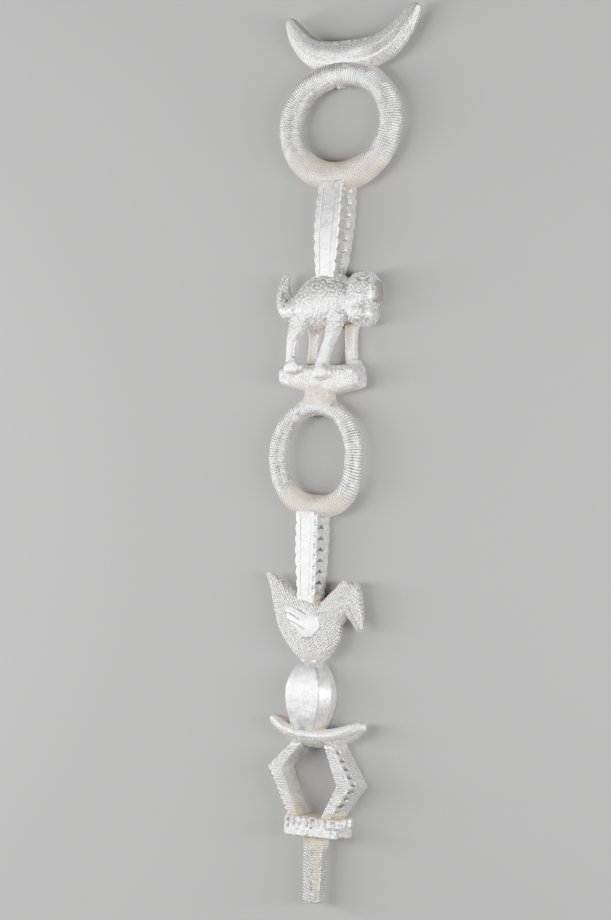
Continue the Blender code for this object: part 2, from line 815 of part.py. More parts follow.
def leopard_head():
    centre = head_centre()
    low_y = centre.y - LEOPARD_HEAD_HEIGHT / 2
    levels = []
    for height, left, right, deep in LEOPARD_HEAD:
        x = centre.x + (left + right) / 2 * LEOPARD_HEAD_WIDTH
        half_width = (right - left) / 2 * LEOPARD_HEAD_WIDTH
        levels.append((low_y + height * LEOPARD_HEAD_HEIGHT, x, half_width, 0, deep * LEOPARD_HEAD_DEPTH / 2))
    return upright("leopard_head", levels, 16, 2.3)


def leopard_tail():
    shares = [Vector(row) for row in TAIL]
    smooth = spline(shares, 2)
    path = [leopard_point(row.x, row.y) for row in smooth]
    sections = [superellipse(row.z * TAIL_WIDTH / 2, row.z * TAIL_WIDTH / 2, 8) for row in smooth]
    return along("leopard_tail", path, sections)


def leopard_leg(hip, knee, foot, thigh, lap, side):
    """A square leg that widens into the flank, and a round paw that laps over the edge of the plate."""
    z = side * (LEOPARD_DEPTH / 2 - LEG_WIDTH * 0.72)
    ground = PLATE_Y + PLATE_THICKNESS
    path = (
        Vector((LEOPARD_SHIFT + foot * LEOPARD_LENGTH, ground - LEG_WIDTH * 0.4, z)),
        Vector((LEOPARD_SHIFT + knee * LEOPARD_LENGTH, ground + LEG_HEIGHT * 0.62, z)),
        Vector((LEOPARD_SHIFT + (knee + hip) / 2 * LEOPARD_LENGTH, ground + LEG_HEIGHT * 1.02, z)),
        Vector((LEOPARD_SHIFT + hip * LEOPARD_LENGTH, ground + LEG_HEIGHT * 1.45, z)),
    )
    shank = superellipse(LEG_WIDTH / 2, LEG_WIDTH / 2, 8, 5)
    widths = (1, 1.05, (1 + thigh) / 2, thigh)
    leg = along("leg", path, [[(across * wide, depth) for across, depth in shank] for wide in widths])
    paw_y = ground - PLATE_THICKNESS * lap
    paw_x = path[0].x + LEG_WIDTH * 0.3
    levels = []
    for up, wide in ((-1, 0.45), (-0.65, 0.82), (0, 1.0), (0.65, 0.8), (1, 0.4)):
        levels.append((paw_y + up * LEG_WIDTH * 0.82, paw_x, wide * LEG_WIDTH * 1.15, z, wide * LEG_WIDTH * 0.74))
    return [leg, upright("paw", levels, 8)]


def leopard():
    forms = [leopard_body(), leopard_head(), leopard_tail()]
    for leg in LEGS:
        forms += leopard_leg(*leg)
    return forms


def eye_cuts():
    """A ring-shaped groove round each eye, square to the curve of the cheek."""
    centre = head_centre()
    cuts = []
    across = 0.17 * LEOPARD_HEAD_WIDTH
    half_width = 0.55 * LEOPARD_HEAD_WIDTH
    half_depth = LEOPARD_HEAD_DEPTH / 2
    for side in (-1, 1):
        z = side * half_depth * (1 - (across / half_width) ** 2.3) ** (1 / 2.3)
        place = Vector((centre.x + across, centre.y + 0.17 * LEOPARD_HEAD_HEIGHT, z))
        out = Vector((across / half_width**2, 0, z / half_depth**2)).normalized()
        turn = out.to_track_quat("Z", "Y")
        rings = []
        for index in range(12):
            angle = 2 * math.pi * index / 12
            spoke = Vector((math.cos(angle), math.sin(angle), 0))
            middle = spoke * EYE_WIDTH / 2
            section = [(EYE_DEPTH * 0.8, EYE_DEPTH), (-EYE_DEPTH * 0.8, EYE_DEPTH), (0, -EYE_DEPTH)]
            ring_points = [middle + spoke * wide + Vector((0, 0, high)) for wide, high in section]
            rings.append([place + turn @ point for point in ring_points])
        cuts.append(skin("eye", rings, loop=True))
    return cuts


def leopard_plate():
    """A thick plate, hollowed underneath toward the neck that joins it to the ring."""
    half = PLATE_WIDTH / 2
    low = PLATE_Y
    high = PLATE_Y + PLATE_THICKNESS
    neck = PLATE_NECK_WIDTH / 2
    stations = (
        # along, underside, top, depth
        (-half, low + PLATE_THICKNESS * 0.35, high - PLATE_THICKNESS * 0.15, 0.75),
        (-half * 0.955, low + PLATE_THICKNESS * 0.05, high, 1.0),
        (-neck, low - PLATE_THICKNESS * 0.28, high, 1.0),
        (neck, low - PLATE_THICKNESS * 0.42, high, 1.0),
        (half * 0.88, low - PLATE_THICKNESS * 0.15, high, 1.0),
        (half, low - PLATE_THICKNESS * 0.05, high - PLATE_THICKNESS * 0.40, 0.8),
    )
    rings = []
    for across, under, top, deep in stations:
        section = superellipse((top - under) / 2, deep * PLATE_DEPTH / 2, 12, 5)
        rings.append([(PLATE_SHIFT + across, (top + under) / 2 + up, depth) for up, depth in section])
    plate = skin("leopard_plate", rings)
    levels = (
        (PLATE_NECK_Y - LOWER_RING_THICKNESS / 2, LOWER_RING_SHIFT, neck * 1.6, 0, PLATE_NECK_DEPTH / 2),
        (PLATE_NECK_Y, (LOWER_RING_SHIFT + PLATE_SHIFT) / 2, neck, 0, PLATE_NECK_DEPTH / 2),
        (PLATE_Y + PLATE_THICKNESS * 0.3, PLATE_SHIFT, neck * 1.3, 0, PLATE_DEPTH * 0.45),
    )
    return [plate, upright("plate_neck", levels, 12, 3)]


# Joining


def as_helper(helper, group):
    group.objects.link(helper)
    helper.hide_render = True
    helper.display_type = "WIRE"


def add_boolean(target, operation, other):
    modifier = target.modifiers.new(operation.lower(), "BOOLEAN")
    modifier.operation = operation
    modifier.solver = "EXACT"
    if isinstance(other, bpy.types.Collection):
        modifier.operand_type = "COLLECTION"
        modifier.collection = other
    else:
        modifier.object = other


def helper_group(name, helpers):
    group = bpy.data.collections.new(name)
    bpy.context.scene.collection.children.link(group)
    for helper in helpers:
        as_helper(helper, group)
    return group


def rest_cut(length):
    """Takes a shaving off the back of the plate and of the leopard's flank, so that both lie flat on one level."""
    wide = UPPER_HOLE_WIDTH * 3
    outline = ((-wide, -wide), (wide, -wide), (wide, length + wide), (-wide, length + wide))
    return slab("rest_cut", outline, -REST_DEPTH - wide, -REST_DEPTH)


def centre_on_floor(staff):
    """Moves the staff and its helpers so that the origin is under the middle of the finished shape."""
    bpy.context.view_layer.update()
    shape = staff.evaluated_get(bpy.context.evaluated_depsgraph_get())
    corners = np.array([shape.matrix_world @ Vector(corner) for corner in shape.bound_box])
    low, high = corners.min(axis=0), corners.max(axis=0)
    floor = bpy.data.objects.new("floor_middle", None)
    bpy.context.scene.collection.objects.link(floor)
    for thing in bpy.data.objects:
        if thing is not floor:
            thing.parent = floor
    floor.location = (-(low[0] + high[0]) / 2, -(low[1] + high[1]) / 2, -low[2])


def main():
    for old in list(bpy.data.objects):
        bpy.data.objects.remove(old, do_unlink=True)

    lower_shaft = lower_shaft_shape()
    upper_shaft = upper_shaft_shape()
    forms = grip() + frame_arms() + small_crescent() + disc() + bird()
    forms += [lower_shaft[0]] + lower_ring() + leopard_plate() + leopard()
    forms += [upper_shaft[0]] + upper_ring() + top_crescent()
    cuts = foot_notches() + arm_notches() + eye_cuts()
    cuts += diamond_chips(lower_shaft, forward=0.1, tall=LOWER_CHIP_PITCH * 0.85, wide=0.42)
    cuts += triangle_chips(upper_shaft, forward=0.42, tall=UPPER_CHIP_PITCH * 0.88, wide=0.44)
    cuts.append(rest_cut(HORN_Y + HORN_THICKNESS))

    staff = foot_plate()[0]
    staff.name = "staff"
    bpy.context.scene.collection.objects.link(staff)
    add_boolean(staff, "UNION", helper_group("forms", forms))
    add_boolean(staff, "DIFFERENCE", helper_group("cuts", cuts))
    staff.data.materials.append(material())
    staff.data.shade_smooth()
    staff.data.set_sharp_from_angle(angle=math.radians(35))
    centre_on_floor(staff)


main()
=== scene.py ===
"""Ceremonial staff, carved of wood in one piece and laid over with silver leaf, lying on its back.

+Y runs from the grip to the horns, +X to the side that the two animals face, and +Z out of the carved front.
Sizes are in metres, in the staff's own frame: the grip ends at y = 0, and its axis is x = z = 0.
"""

import math

import bmesh
import bpy
import numpy as np
from mathutils import Matrix, Vector
from mathutils.bvhtree import BVHTree
from mathutils.kdtree import KDTree


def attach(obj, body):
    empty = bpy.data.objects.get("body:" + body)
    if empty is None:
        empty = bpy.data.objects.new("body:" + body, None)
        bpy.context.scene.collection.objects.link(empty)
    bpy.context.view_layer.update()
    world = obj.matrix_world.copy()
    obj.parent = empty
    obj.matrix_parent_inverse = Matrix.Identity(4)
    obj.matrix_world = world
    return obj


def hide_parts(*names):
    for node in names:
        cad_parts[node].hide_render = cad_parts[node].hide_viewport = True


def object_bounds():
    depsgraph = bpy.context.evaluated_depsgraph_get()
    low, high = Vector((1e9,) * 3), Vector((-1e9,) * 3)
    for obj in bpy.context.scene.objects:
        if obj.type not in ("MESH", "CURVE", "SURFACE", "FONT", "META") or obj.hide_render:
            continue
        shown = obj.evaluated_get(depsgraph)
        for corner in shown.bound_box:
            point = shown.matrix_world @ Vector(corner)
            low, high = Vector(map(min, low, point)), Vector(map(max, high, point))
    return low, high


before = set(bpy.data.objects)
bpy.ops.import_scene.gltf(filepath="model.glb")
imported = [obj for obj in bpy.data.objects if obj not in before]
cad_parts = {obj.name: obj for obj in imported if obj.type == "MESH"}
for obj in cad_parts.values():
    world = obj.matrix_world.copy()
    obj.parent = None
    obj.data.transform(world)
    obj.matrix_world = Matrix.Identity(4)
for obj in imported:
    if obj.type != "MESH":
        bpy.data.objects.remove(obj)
cad_box = [list(corner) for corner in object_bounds()]

# Where the staff's own frame lies in the shared one
PLACE = np.array((0.0005266, -0.4960162, 0.0187500))

# Grip and foot plate
GRIP_LENGTH, GRIP_END_WIDTH, GRIP_TOP_WIDTH, GRIP_SIDES = 0.0740, 0.0235, 0.0275, 8
FOOT_WIDTH, FOOT_DEPTH, FOOT_THICKNESS, FOOT_CORNER = 0.0705, 0.0420, 0.0215, 0.0050
FOOT_NOTCH_PITCH, FOOT_NOTCH_DEPTH = 0.0080, 0.0022

# Open frame
FRAME_HEIGHT, FRAME_END_WIDTH, FRAME_ELBOW_WIDTH = 0.0780, 0.0610, 0.1170
ELBOW_RISE_LEFT, ELBOW_RISE_RIGHT = 0.0505, 0.0370
ARM_WIDTH, ARM_BACK_WIDTH, ARM_END_WIDTH = 0.0210, 0.0135, 0.0140
ARM_DEPTH, ARM_END_DEPTH, ARM_NOTCH_PITCH, ARM_NOTCH_DEPTH = 0.0340, 0.0285, 0.0083, 0.0020

# Crescents and disc
SMALL_HORN_SPAN, SMALL_HORN_THICKNESS, SMALL_HORN_DEPTH = 0.1290, 0.0200, 0.0270
SMALL_HORN_RISE, SMALL_HORN_TIP = 0.0200, 0.0075
DISC_HEIGHT, DISC_WIDTH, DISC_DEPTH = 0.0760, 0.0620, 0.0345
DISC_NECK_WIDTH, DISC_NECK_DEPTH, DISC_FOOT_WIDTH, DISC_FOOT_DEPTH = 0.0230, 0.0170, 0.0330, 0.0240
HORN_SPAN_LEFT, HORN_SPAN_RIGHT, HORN_THICKNESS, HORN_DEPTH = 0.0870, 0.0900, 0.0340, 0.0240
HORN_RISE_LEFT, HORN_RISE_RIGHT, HORN_TIP, HORN_SINK = 0.0505, 0.0515, 0.0070, 0.0145

# Bird
BIRD_HEIGHT, BIRD_LENGTH, BIRD_DEPTH, BIRD_TAIL_RISE = 0.0750, 0.0900, 0.0330, 0.0965
BIRD_HEAD_DEPTH = 0.0260

# Shafts
LOWER_SHAFT_LENGTH, LOWER_SHAFT_FOOT, LOWER_SHAFT_MIDDLE, LOWER_SHAFT_TOP = 0.0915, 0.0222, 0.0275, 0.0287
UPPER_SHAFT_LENGTH, UPPER_SHAFT_FOOT, UPPER_SHAFT_MIDDLE, UPPER_SHAFT_TOP = 0.0970, 0.0250, 0.0340, 0.0318
LOWER_CHIP_PITCH, UPPER_CHIP_PITCH, CHIP_DEPTH = 0.0121, 0.0136, 0.0024
PANEL_SHARE, PANEL_DEPTH, SCALLOP_DEPTH = 0.50, 0.0010, 0.0016

# Rings
LOWER_HOLE_WIDTH, LOWER_HOLE_LENGTH, LOWER_HOLE_CORNER = 0.0842, 0.0885, 0.1400
LOWER_RING_THICKNESS, LOWER_RING_FOOT = 0.0208, 0.0265
UPPER_HOLE_WIDTH, UPPER_HOLE_LENGTH, UPPER_RING_THICKNESS = 0.1112, 0.0858, 0.0268
UPPER_RING_FOOT, UPPER_RING_CROWN, NUB_WIDTH, NUB_DROP = 0.0330, 0.0295, 0.0150, 0.0040

# Leopard and its plate
PLATE_WIDTH, PLATE_DEPTH, PLATE_THICKNESS = 0.1090, 0.0220, 0.0230
PLATE_NECK_WIDTH, PLATE_NECK_DEPTH, PLATE_NECK_HEIGHT = 0.0370, 0.0250, 0.0120
LEG_HEIGHT, LEG_WIDTH, TAIL_WIDTH = 0.0400, 0.0120, 0.0150
LEOPARD_LENGTH, LEOPARD_HEIGHT, LEOPARD_DEPTH = 0.0800, 0.0620, 0.0385
LEOPARD_HEAD_WIDTH, LEOPARD_HEAD_HEIGHT, LEOPARD_HEAD_DEPTH = 0.0370, 0.0600, 0.0370
EYE_WIDTH = 0.0090

# How far a form runs into the next
JOIN = 0.0080

# How far each form stands to one side of the axis
GRIP_LEAN, FOOT_SHIFT, FRAME_SHIFT, SMALL_HORN_SHIFT = 0.0010, 0.0030, -0.0010, -0.0040
DISC_SHIFT, BIRD_SHIFT, LOWER_SHAFT_SHIFT, LOWER_RING_SHIFT = -0.0150, -0.0160, -0.0215, -0.0236
PLATE_SHIFT, LEOPARD_SHIFT, UPPER_SHAFT_SHIFT, UPPER_RING_SHIFT = -0.0196, -0.0178, -0.0145, -0.0100
HORN_SHIFT = -0.0020

# Heights of the forms along the staff
FOOT_Y = GRIP_LENGTH
FRAME_Y = FOOT_Y + FOOT_THICKNESS
SMALL_HORN_Y = FRAME_Y + FRAME_HEIGHT
DISC_Y = SMALL_HORN_Y + SMALL_HORN_THICKNESS * 0.75
BIRD_Y = DISC_Y + DISC_HEIGHT
LOWER_SHAFT_Y = BIRD_Y + BIRD_HEIGHT - JOIN
LOWER_RING_Y = LOWER_SHAFT_Y + LOWER_SHAFT_LENGTH
PLATE_NECK_Y = LOWER_RING_Y + LOWER_RING_FOOT + LOWER_HOLE_LENGTH + LOWER_RING_THICKNESS
PLATE_Y = PLATE_NECK_Y + PLATE_NECK_HEIGHT
GROUND_Y = PLATE_Y + PLATE_THICKNESS
LEOPARD_Y = GROUND_Y + LEG_HEIGHT
UPPER_SHAFT_Y = LEOPARD_Y + LEOPARD_HEIGHT - JOIN / 2
UPPER_RING_Y = UPPER_SHAFT_Y + UPPER_SHAFT_LENGTH
HORN_Y = UPPER_RING_Y + UPPER_RING_FOOT + UPPER_HOLE_LENGTH + UPPER_RING_CROWN

# Fine relief: how far apart its lines are, how deep they go, and other small sizes
GRIP_SLANT_PITCH, GRIP_RUNG_PITCH, GRIP_LINE_DEPTH = 0.0032, 0.0027, 0.0007
FOOT_GROOVE_DROP, FOOT_BREAK_DEPTH, PIT_RADIUS = 0.0105, 0.0022, 0.0016
ARM_LINE_PITCH, ARM_LINE_DEPTH, ARM_EDGE_LINE = 0.0027, 0.00045, 0.0042
TEETH_PITCH, TEETH_DEPTH = 0.0052, 0.0026
GROOVE_WIDTH, GROOVE_DEPTH, BACK_GROOVE_DEPTH = 0.0011, 0.0013, 0.0006
NET_PITCH, NET_CROSS_PITCH, NET_DEPTH = 0.0026, 0.0028, 0.00038
WING_RISE, FEATHER_WIDTH, FEATHER_DEPTH = 0.0006, 0.0010, 0.0005
COLLAR_PITCH, COLLAR_RISE = 0.0033, 0.0008
BIRD_VOXEL, LEOPARD_VOXEL = 0.00072, 0.00078

# What the finish reads at each point: metres along and around a form, then how much of each mark there is; two of the
# marks are painted shade, one for hollows and shut-in places and one for the darkened cuts
MARKS = ("along", "around", "hatch", "cross", "stipple", "wear", "crevice", "smooth", "graven")


# Camera, lights and floor


def added(name, data):
    """An object with this data, in the scene."""
    made = bpy.data.objects.new(name, data)
    bpy.context.scene.collection.objects.link(made)
    return made


# Where the camera stands, which way it looks and which way is up; its lens and sensor in millimetres
CAMERA_PLACE, CAMERA_WAY = (1.542257, -0.120894, 2.14076), (-0.59650757, 0.04258708, -0.8014768)
CAMERA_UP, LENS_LENGTH, SENSOR_HEIGHT = (-0.01139035, 0.99804153, 0.06150909), 92.673, 36
SKY_COLOUR, SKY_STRENGTH, FLOOR_COLOUR, FLOOR_HALF_WIDTH = (0.80, 0.82, 0.86, 1), 0.06, (0.24, 0.24, 0.237, 1), 4


def camera_and_lights():
    lens = bpy.data.cameras.new("camera")
    lens.sensor_fit, lens.sensor_height, lens.lens = "VERTICAL", SENSOR_HEIGHT, LENS_LENGTH
    camera = added("camera", lens)
    forward = Vector(CAMERA_WAY).normalized()
    right = forward.cross(Vector(CAMERA_UP)).normalized()
    turn = Matrix((right, right.cross(forward), -forward)).transposed().to_4x4()
    camera.matrix_world = Matrix.Translation(CAMERA_PLACE) @ turn
    bpy.context.scene.camera = camera

    # Place, width and length, and power of each soft light
    for name, place, size, power in (
        ("light_above", (-1.2, -0.15, 1.8), (0.6, 3.4), 128),
        ("light_right", (2.1, -0.1, 0.50), (0.36, 2.4), 215),
        ("light_left", (-1.9, -0.1, 0.35), (0.32, 2.0), 92),
    ):
        lamp = bpy.data.lights.new(name, "AREA")
        lamp.shape = "RECTANGLE"
        lamp.size, lamp.size_y = size
        lamp.energy = power
        light = added(name, lamp)
        light.location = place
        light.rotation_euler = (Vector((0, 0, 0.02)) - Vector(place)).to_track_quat("-Z", "Y").to_euler()

    world = bpy.data.worlds.new("studio")
    world.use_nodes = True
    sky = world.node_tree.nodes["Background"].inputs
    sky["Color"].default_value = SKY_COLOUR
    sky["Strength"].default_value = SKY_STRENGTH
    bpy.context.scene.world = world

    shape = bmesh.new()
    bmesh.ops.create_grid(shape, x_segments=1, y_segments=1, size=FLOOR_HALF_WIDTH)
    mesh = bpy.data.meshes.new("floor")
    shape.to_mesh(mesh)
    shape.free()
    paper = bpy.data.materials.new("pale_paper")
    paper.use_nodes = True
    surface = paper.node_tree.nodes["Principled BSDF"].inputs
    surface["Base Color"].default_value = FLOOR_COLOUR
    surface["Roughness"].default_value = 0.9
    mesh.materials.append(paper)
    added("floor", mesh)


# Small helpers on arrays


MIXERS, SEED_MIXER, FOLD_MIXER, LOW_BITS = np.array((374761393, 668265263, 1103515245)), 144665, 1274126177, 0xFFFFFFFF


def lump(points, size, seed):
    """Smooth unevenness between -1 and 1, in lumps of about the given size."""
    grid = np.asarray(points) / size
    cell = np.floor(grid).astype(np.int64)
    part = grid - cell
    part = part * part * (3 - 2 * part)
    total = np.zeros(grid.shape[:-1])
    for step in np.ndindex(2, 2, 2):
        code = (((cell + np.array(step)) * MIXERS).sum(-1) + seed * SEED_MIXER) & LOW_BITS
        code = ((code ^ (code >> 13)) * FOLD_MIXER) & LOW_BITS
        value = ((code ^ (code >> 16)) & 0xFFFF) / 32767.5 - 1
        total += value * np.prod(np.where(step, part, 1 - part), axis=-1)
    return total


def unit(value):
    """The value, held between nothing and one."""
    return np.clip(value, 0, 1)


def together(*values):
    """The values side by side on a last axis, each spread over the grid that they share."""
    return np.stack(np.broadcast_arrays(*values), -1)


def line_at(value, width):
    """One on the line where the value is nothing, and nothing further off than the width."""
    return unit(1 - np.abs(value) / width)


def lines(value, width=0.3):
    """Lines on the whole numbers, each this share of the pitch wide to either side."""
    return line_at(value - np.round(value), width)


def ease(value, low, high):
    """Nothing below the low value and one above the high one, with a soft rise between them."""
    share = unit((value - low) / (high - low))
    return share * share * (3 - 2 * share)


def spline_rows(table, steps):
    """Rows that run smoothly through the rows of a table, with so many steps between two of them."""
    rows = np.array(table, float)
    rows = np.vstack([2 * rows[0] - rows[1], rows, 2 * rows[-1] - rows[-2]])
    made = []
    for a, b, c, d in zip(rows, rows[1:], rows[2:], rows[3:]):
        t = np.arange(steps)[:, None] / steps
        made.append(
            0.5 * (2 * b + (c - a) * t + (2 * a - 5 * b + 4 * c - d) * t**2 + (3 * b - a - 3 * c + d) * t**3)
        )
    made.append(rows[-2][None, :])
    return np.vstack(made)


def softened(corners, count, passes):
    """A closed outline through the corners, with this many points and softened corners."""
    closed = np.array(list(corners) + [corners[0]], float)
    marks = np.concatenate([[0], np.cumsum(np.linalg.norm(np.diff(closed, axis=0), axis=1))])
    at = np.linspace(0, marks[-1], count, endpoint=False)
    outline = np.stack([np.interp(at, marks, closed[:, axis]) for axis in (0, 1)], -1)
    for _ in range(passes):
        outline = outline / 2 + (np.roll(outline, 1, 0) + np.roll(outline, -1, 0)) / 4
    return outline


def oval(sides, power=2.0, first=0):
    """A rounded section of unit half width and half depth, which starts at the back."""
    angle = -math.pi / 2 + 2 * math.pi * (np.arange(sides) + first) / sides
    cos, sin = np.cos(angle), np.sin(angle)
    return np.sign(cos) * np.abs(cos) ** (2 / power), np.sign(sin) * np.abs(sin) ** (2 / power)


def flats(sides, power, count, passes):
    """The same rounded section, cut in flats with softened corners."""
    return softened(np.stack(oval(sides, power, 0.5), -1), count, passes).T


def near(points, place, radius):
    """One at the place, and nothing further off than the radius."""
    return unit(1 - np.linalg.norm(points - np.array(place), axis=-1) / radius)


def off_line(points, way):
    """How far points of the XY plane are from a line through the given places."""
    nearest = np.full(len(points), 1.0)
    for start, end in zip(np.array(way), np.array(way[1:])):
        share = unit((points - start) @ (end - start) / ((end - start) ** 2).sum())
        off = points - (start + share[:, None] * (end - start))
        nearest = np.minimum(nearest, np.linalg.norm(off, axis=1))
    return nearest


def inside(points, outline):
    """How far points of the XY plane lie inside a closed outline, and below zero outside it."""
    points = np.asarray(points)[:, None, :]
    start = np.array(outline)[None, :, :]
    end = np.roll(start, -1, 1)
    edge = end - start
    away = points - start
    share = unit((away * edge).sum(-1) / (edge**2).sum(-1))
    nearest = np.sqrt(((away - edge * share[..., None]) ** 2).sum(-1).min(1))
    below, above = start[..., 1] <= points[..., 1], end[..., 1] <= points[..., 1]
    turn = edge[..., 0] * away[..., 1] - edge[..., 1] * away[..., 0]
    crossings = ((~above & below & (turn > 0)).astype(int) - (above & ~below & (turn < 0)).astype(int)).sum(1)
    return np.where(crossings != 0, nearest, -nearest)


# Skins over grids of points


class Skin:
    """A closed skin over a grid: rows along a form and columns around it, with the marks for its finish."""

    def __init__(self, points, **marks):
        self.points = np.array(points, float)
        rows, columns = self.points.shape[:2]
        self.marks = {name: np.zeros((rows, columns)) for name in MARKS}
        middle = self.points.mean(1)
        steps = np.linalg.norm(np.diff(middle, axis=0), axis=1)
        self.marks["along"] += np.concatenate([[0], np.cumsum(steps)])[:, None]
        wide = self.points[rows // 2]
        steps = np.linalg.norm(np.diff(wide, axis=0), axis=1)
        self.marks["around"] += np.concatenate([[0], np.cumsum(steps)])[None, :]
        self.mark(**marks)

    def mark(self, **marks):
        """Sets marks, each to one value or to a value at each point."""
        for name, value in marks.items():
            self.marks[name] = np.zeros(self.points.shape[:2]) + value

    def outward(self):
        """The normals that point out of the skin, and whether its grid runs the other way round."""
        points = self.points
        around = np.roll(points, -1, 1) - np.roll(points, 1, 1)
        normal = np.cross(around, np.gradient(points, axis=0))
        normal /= np.maximum(np.linalg.norm(normal, axis=-1, keepdims=True), 1e-12)
        out = (normal * (points - points.mean(1, keepdims=True))).sum()
        return (normal, False) if out > 0 else (-normal, True)

    def press(self, depth):
        """Cuts into the skin by a depth at each point."""
        normal, _ = self.outward()
        self.points -= normal * np.asarray(depth)[..., None]
        return self

    def worn(self, size, depth, seed):
        """The same skin, worn uneven in lumps of this size."""
        return self.press(lump(self.points, size, seed) * depth)

    def faces(self, start):
        """Quads between the rows, and fans that close both ends on a point each."""
        rows, columns = self.points.shape[:2]
        number = start + np.arange(rows * columns).reshape(rows, columns)
        after = np.roll(number, -1, 1)
        quads = together(number[:-1], after[:-1], after[1:], number[1:]).reshape(-1, 4)
        low, high = (np.full(columns, start + rows * columns + end) for end in (0, 1))
        fans = np.vstack([together(after[0], number[0], low), together(number[-1], after[-1], high)])
        if self.outward()[1]:
            quads, fans = quads[:, ::-1], fans[:, ::-1]
        return quads.tolist() + fans.tolist()


def mesh_from(name, skins):
    """One mesh of several closed skins."""
    points, faces, marks, start = [], [], {mark: [] for mark in MARKS}, 0
    for skin in skins:
        faces += skin.faces(start)
        ends = [skin.points[0].mean(0), skin.points[-1].mean(0)]
        points.append(np.vstack([skin.points.reshape(-1, 3), ends]))
        for mark in MARKS:
            values = skin.marks[mark]
            marks[mark].append(np.concatenate([values.ravel(), [values[0].mean(), values[-1].mean()]]))
        start += len(points[-1])
    mesh = bpy.data.meshes.new(name)
    mesh.from_pydata(np.vstack(points).tolist(), [], faces)
    mesh.update()
    for mark in MARKS:
        set_mark(mesh, mark, np.concatenate(marks[mark]))
    return mesh


def set_mark(mesh, mark, values):
    layer = mesh.attributes.get(mark) or mesh.attributes.new(mark, "FLOAT", "POINT")
    layer.data.foreach_set("value", np.asarray(values, np.float32))


def set_marks(mesh, **marks):
    """Sets every mark, and those that aren't given to nothing."""
    for mark in MARKS:
        set_mark(mesh, mark, marks.get(mark, 0) + np.zeros(len(mesh.vertices)))


def get_mark(mesh, mark):
    values = np.zeros(len(mesh.vertices), np.float32)
    if mesh.attributes.get(mark):
        mesh.attributes[mark].data.foreach_get("value", values)
    return values.astype(float)


def read_points(mesh):
    """The points of a mesh and their normals."""
    points, normals = (np.zeros(len(mesh.vertices) * 3, np.float32) for _ in range(2))
    mesh.vertices.foreach_get("co", points)
    mesh.vertex_normals.foreach_get("vector", normals)
    return points.reshape(-1, 3).astype(float), normals.reshape(-1, 3).astype(float)


def write_points(mesh, points):
    mesh.vertices.foreach_set("co", np.asarray(points, np.float32).ravel())
    mesh.update()


# Grip and foot plate


def grip():
    y = np.linspace(0, GRIP_LENGTH + FOOT_THICKNESS / 2, 170)[:, None]
    angle = (-math.pi / 2 + 2 * math.pi * np.arange(80) / 80)[None, :]
    share = unit(y / GRIP_LENGTH)
    half = (GRIP_END_WIDTH + share * (GRIP_TOP_WIDTH - GRIP_END_WIDTH)) / 2
    flat = 2 * math.pi / GRIP_SIDES
    off = (angle + flat / 2) % flat - flat / 2
    radius = np.minimum(half / np.cos(off), half * 1.055)
    edge = lump(together(radius * np.cos(angle), 0, radius * np.sin(angle)), 0.004, 5)
    up = y + ease(0.003 - y, 0, 0.003) * (0.0010 + 0.0010 * edge)
    points = together(GRIP_LEAN * share + radius * np.cos(angle), up, radius * np.sin(angle))
    skin = Skin(points, stipple=0.2)
    # In degrees round the grip, with 90 in front: a herringbone front left, and a rubbed strip front right
    turned = np.degrees(angle)
    herring = ease(turned, 64, 70) * ease(172 - turned, 0, 6)
    aslant = np.where(turned > 112, 1, -1) * radius * np.radians(turned - 112)
    slants = lines((y + aslant * 0.4) / GRIP_SLANT_PITCH, 0.36)
    rungs = lines((y + 0.0003 * lump(points, 0.004, 8)) / GRIP_RUNG_PITCH, 0.40)
    engraved = herring * slants + (1 - herring) * rungs * 0.85
    skin.press(GRIP_LINE_DEPTH * engraved)
    strip = ease(turned, 30, 38) * ease(59 - turned, 0, 8)
    # Painted shade in the engraved lines
    skin.mark(wear=strip * 0.40 + 0.42 * ease(y, 0.055, 0.072) + 0.20, graven=engraved)
    return skin.worn(0.010, 0.00035, 11)


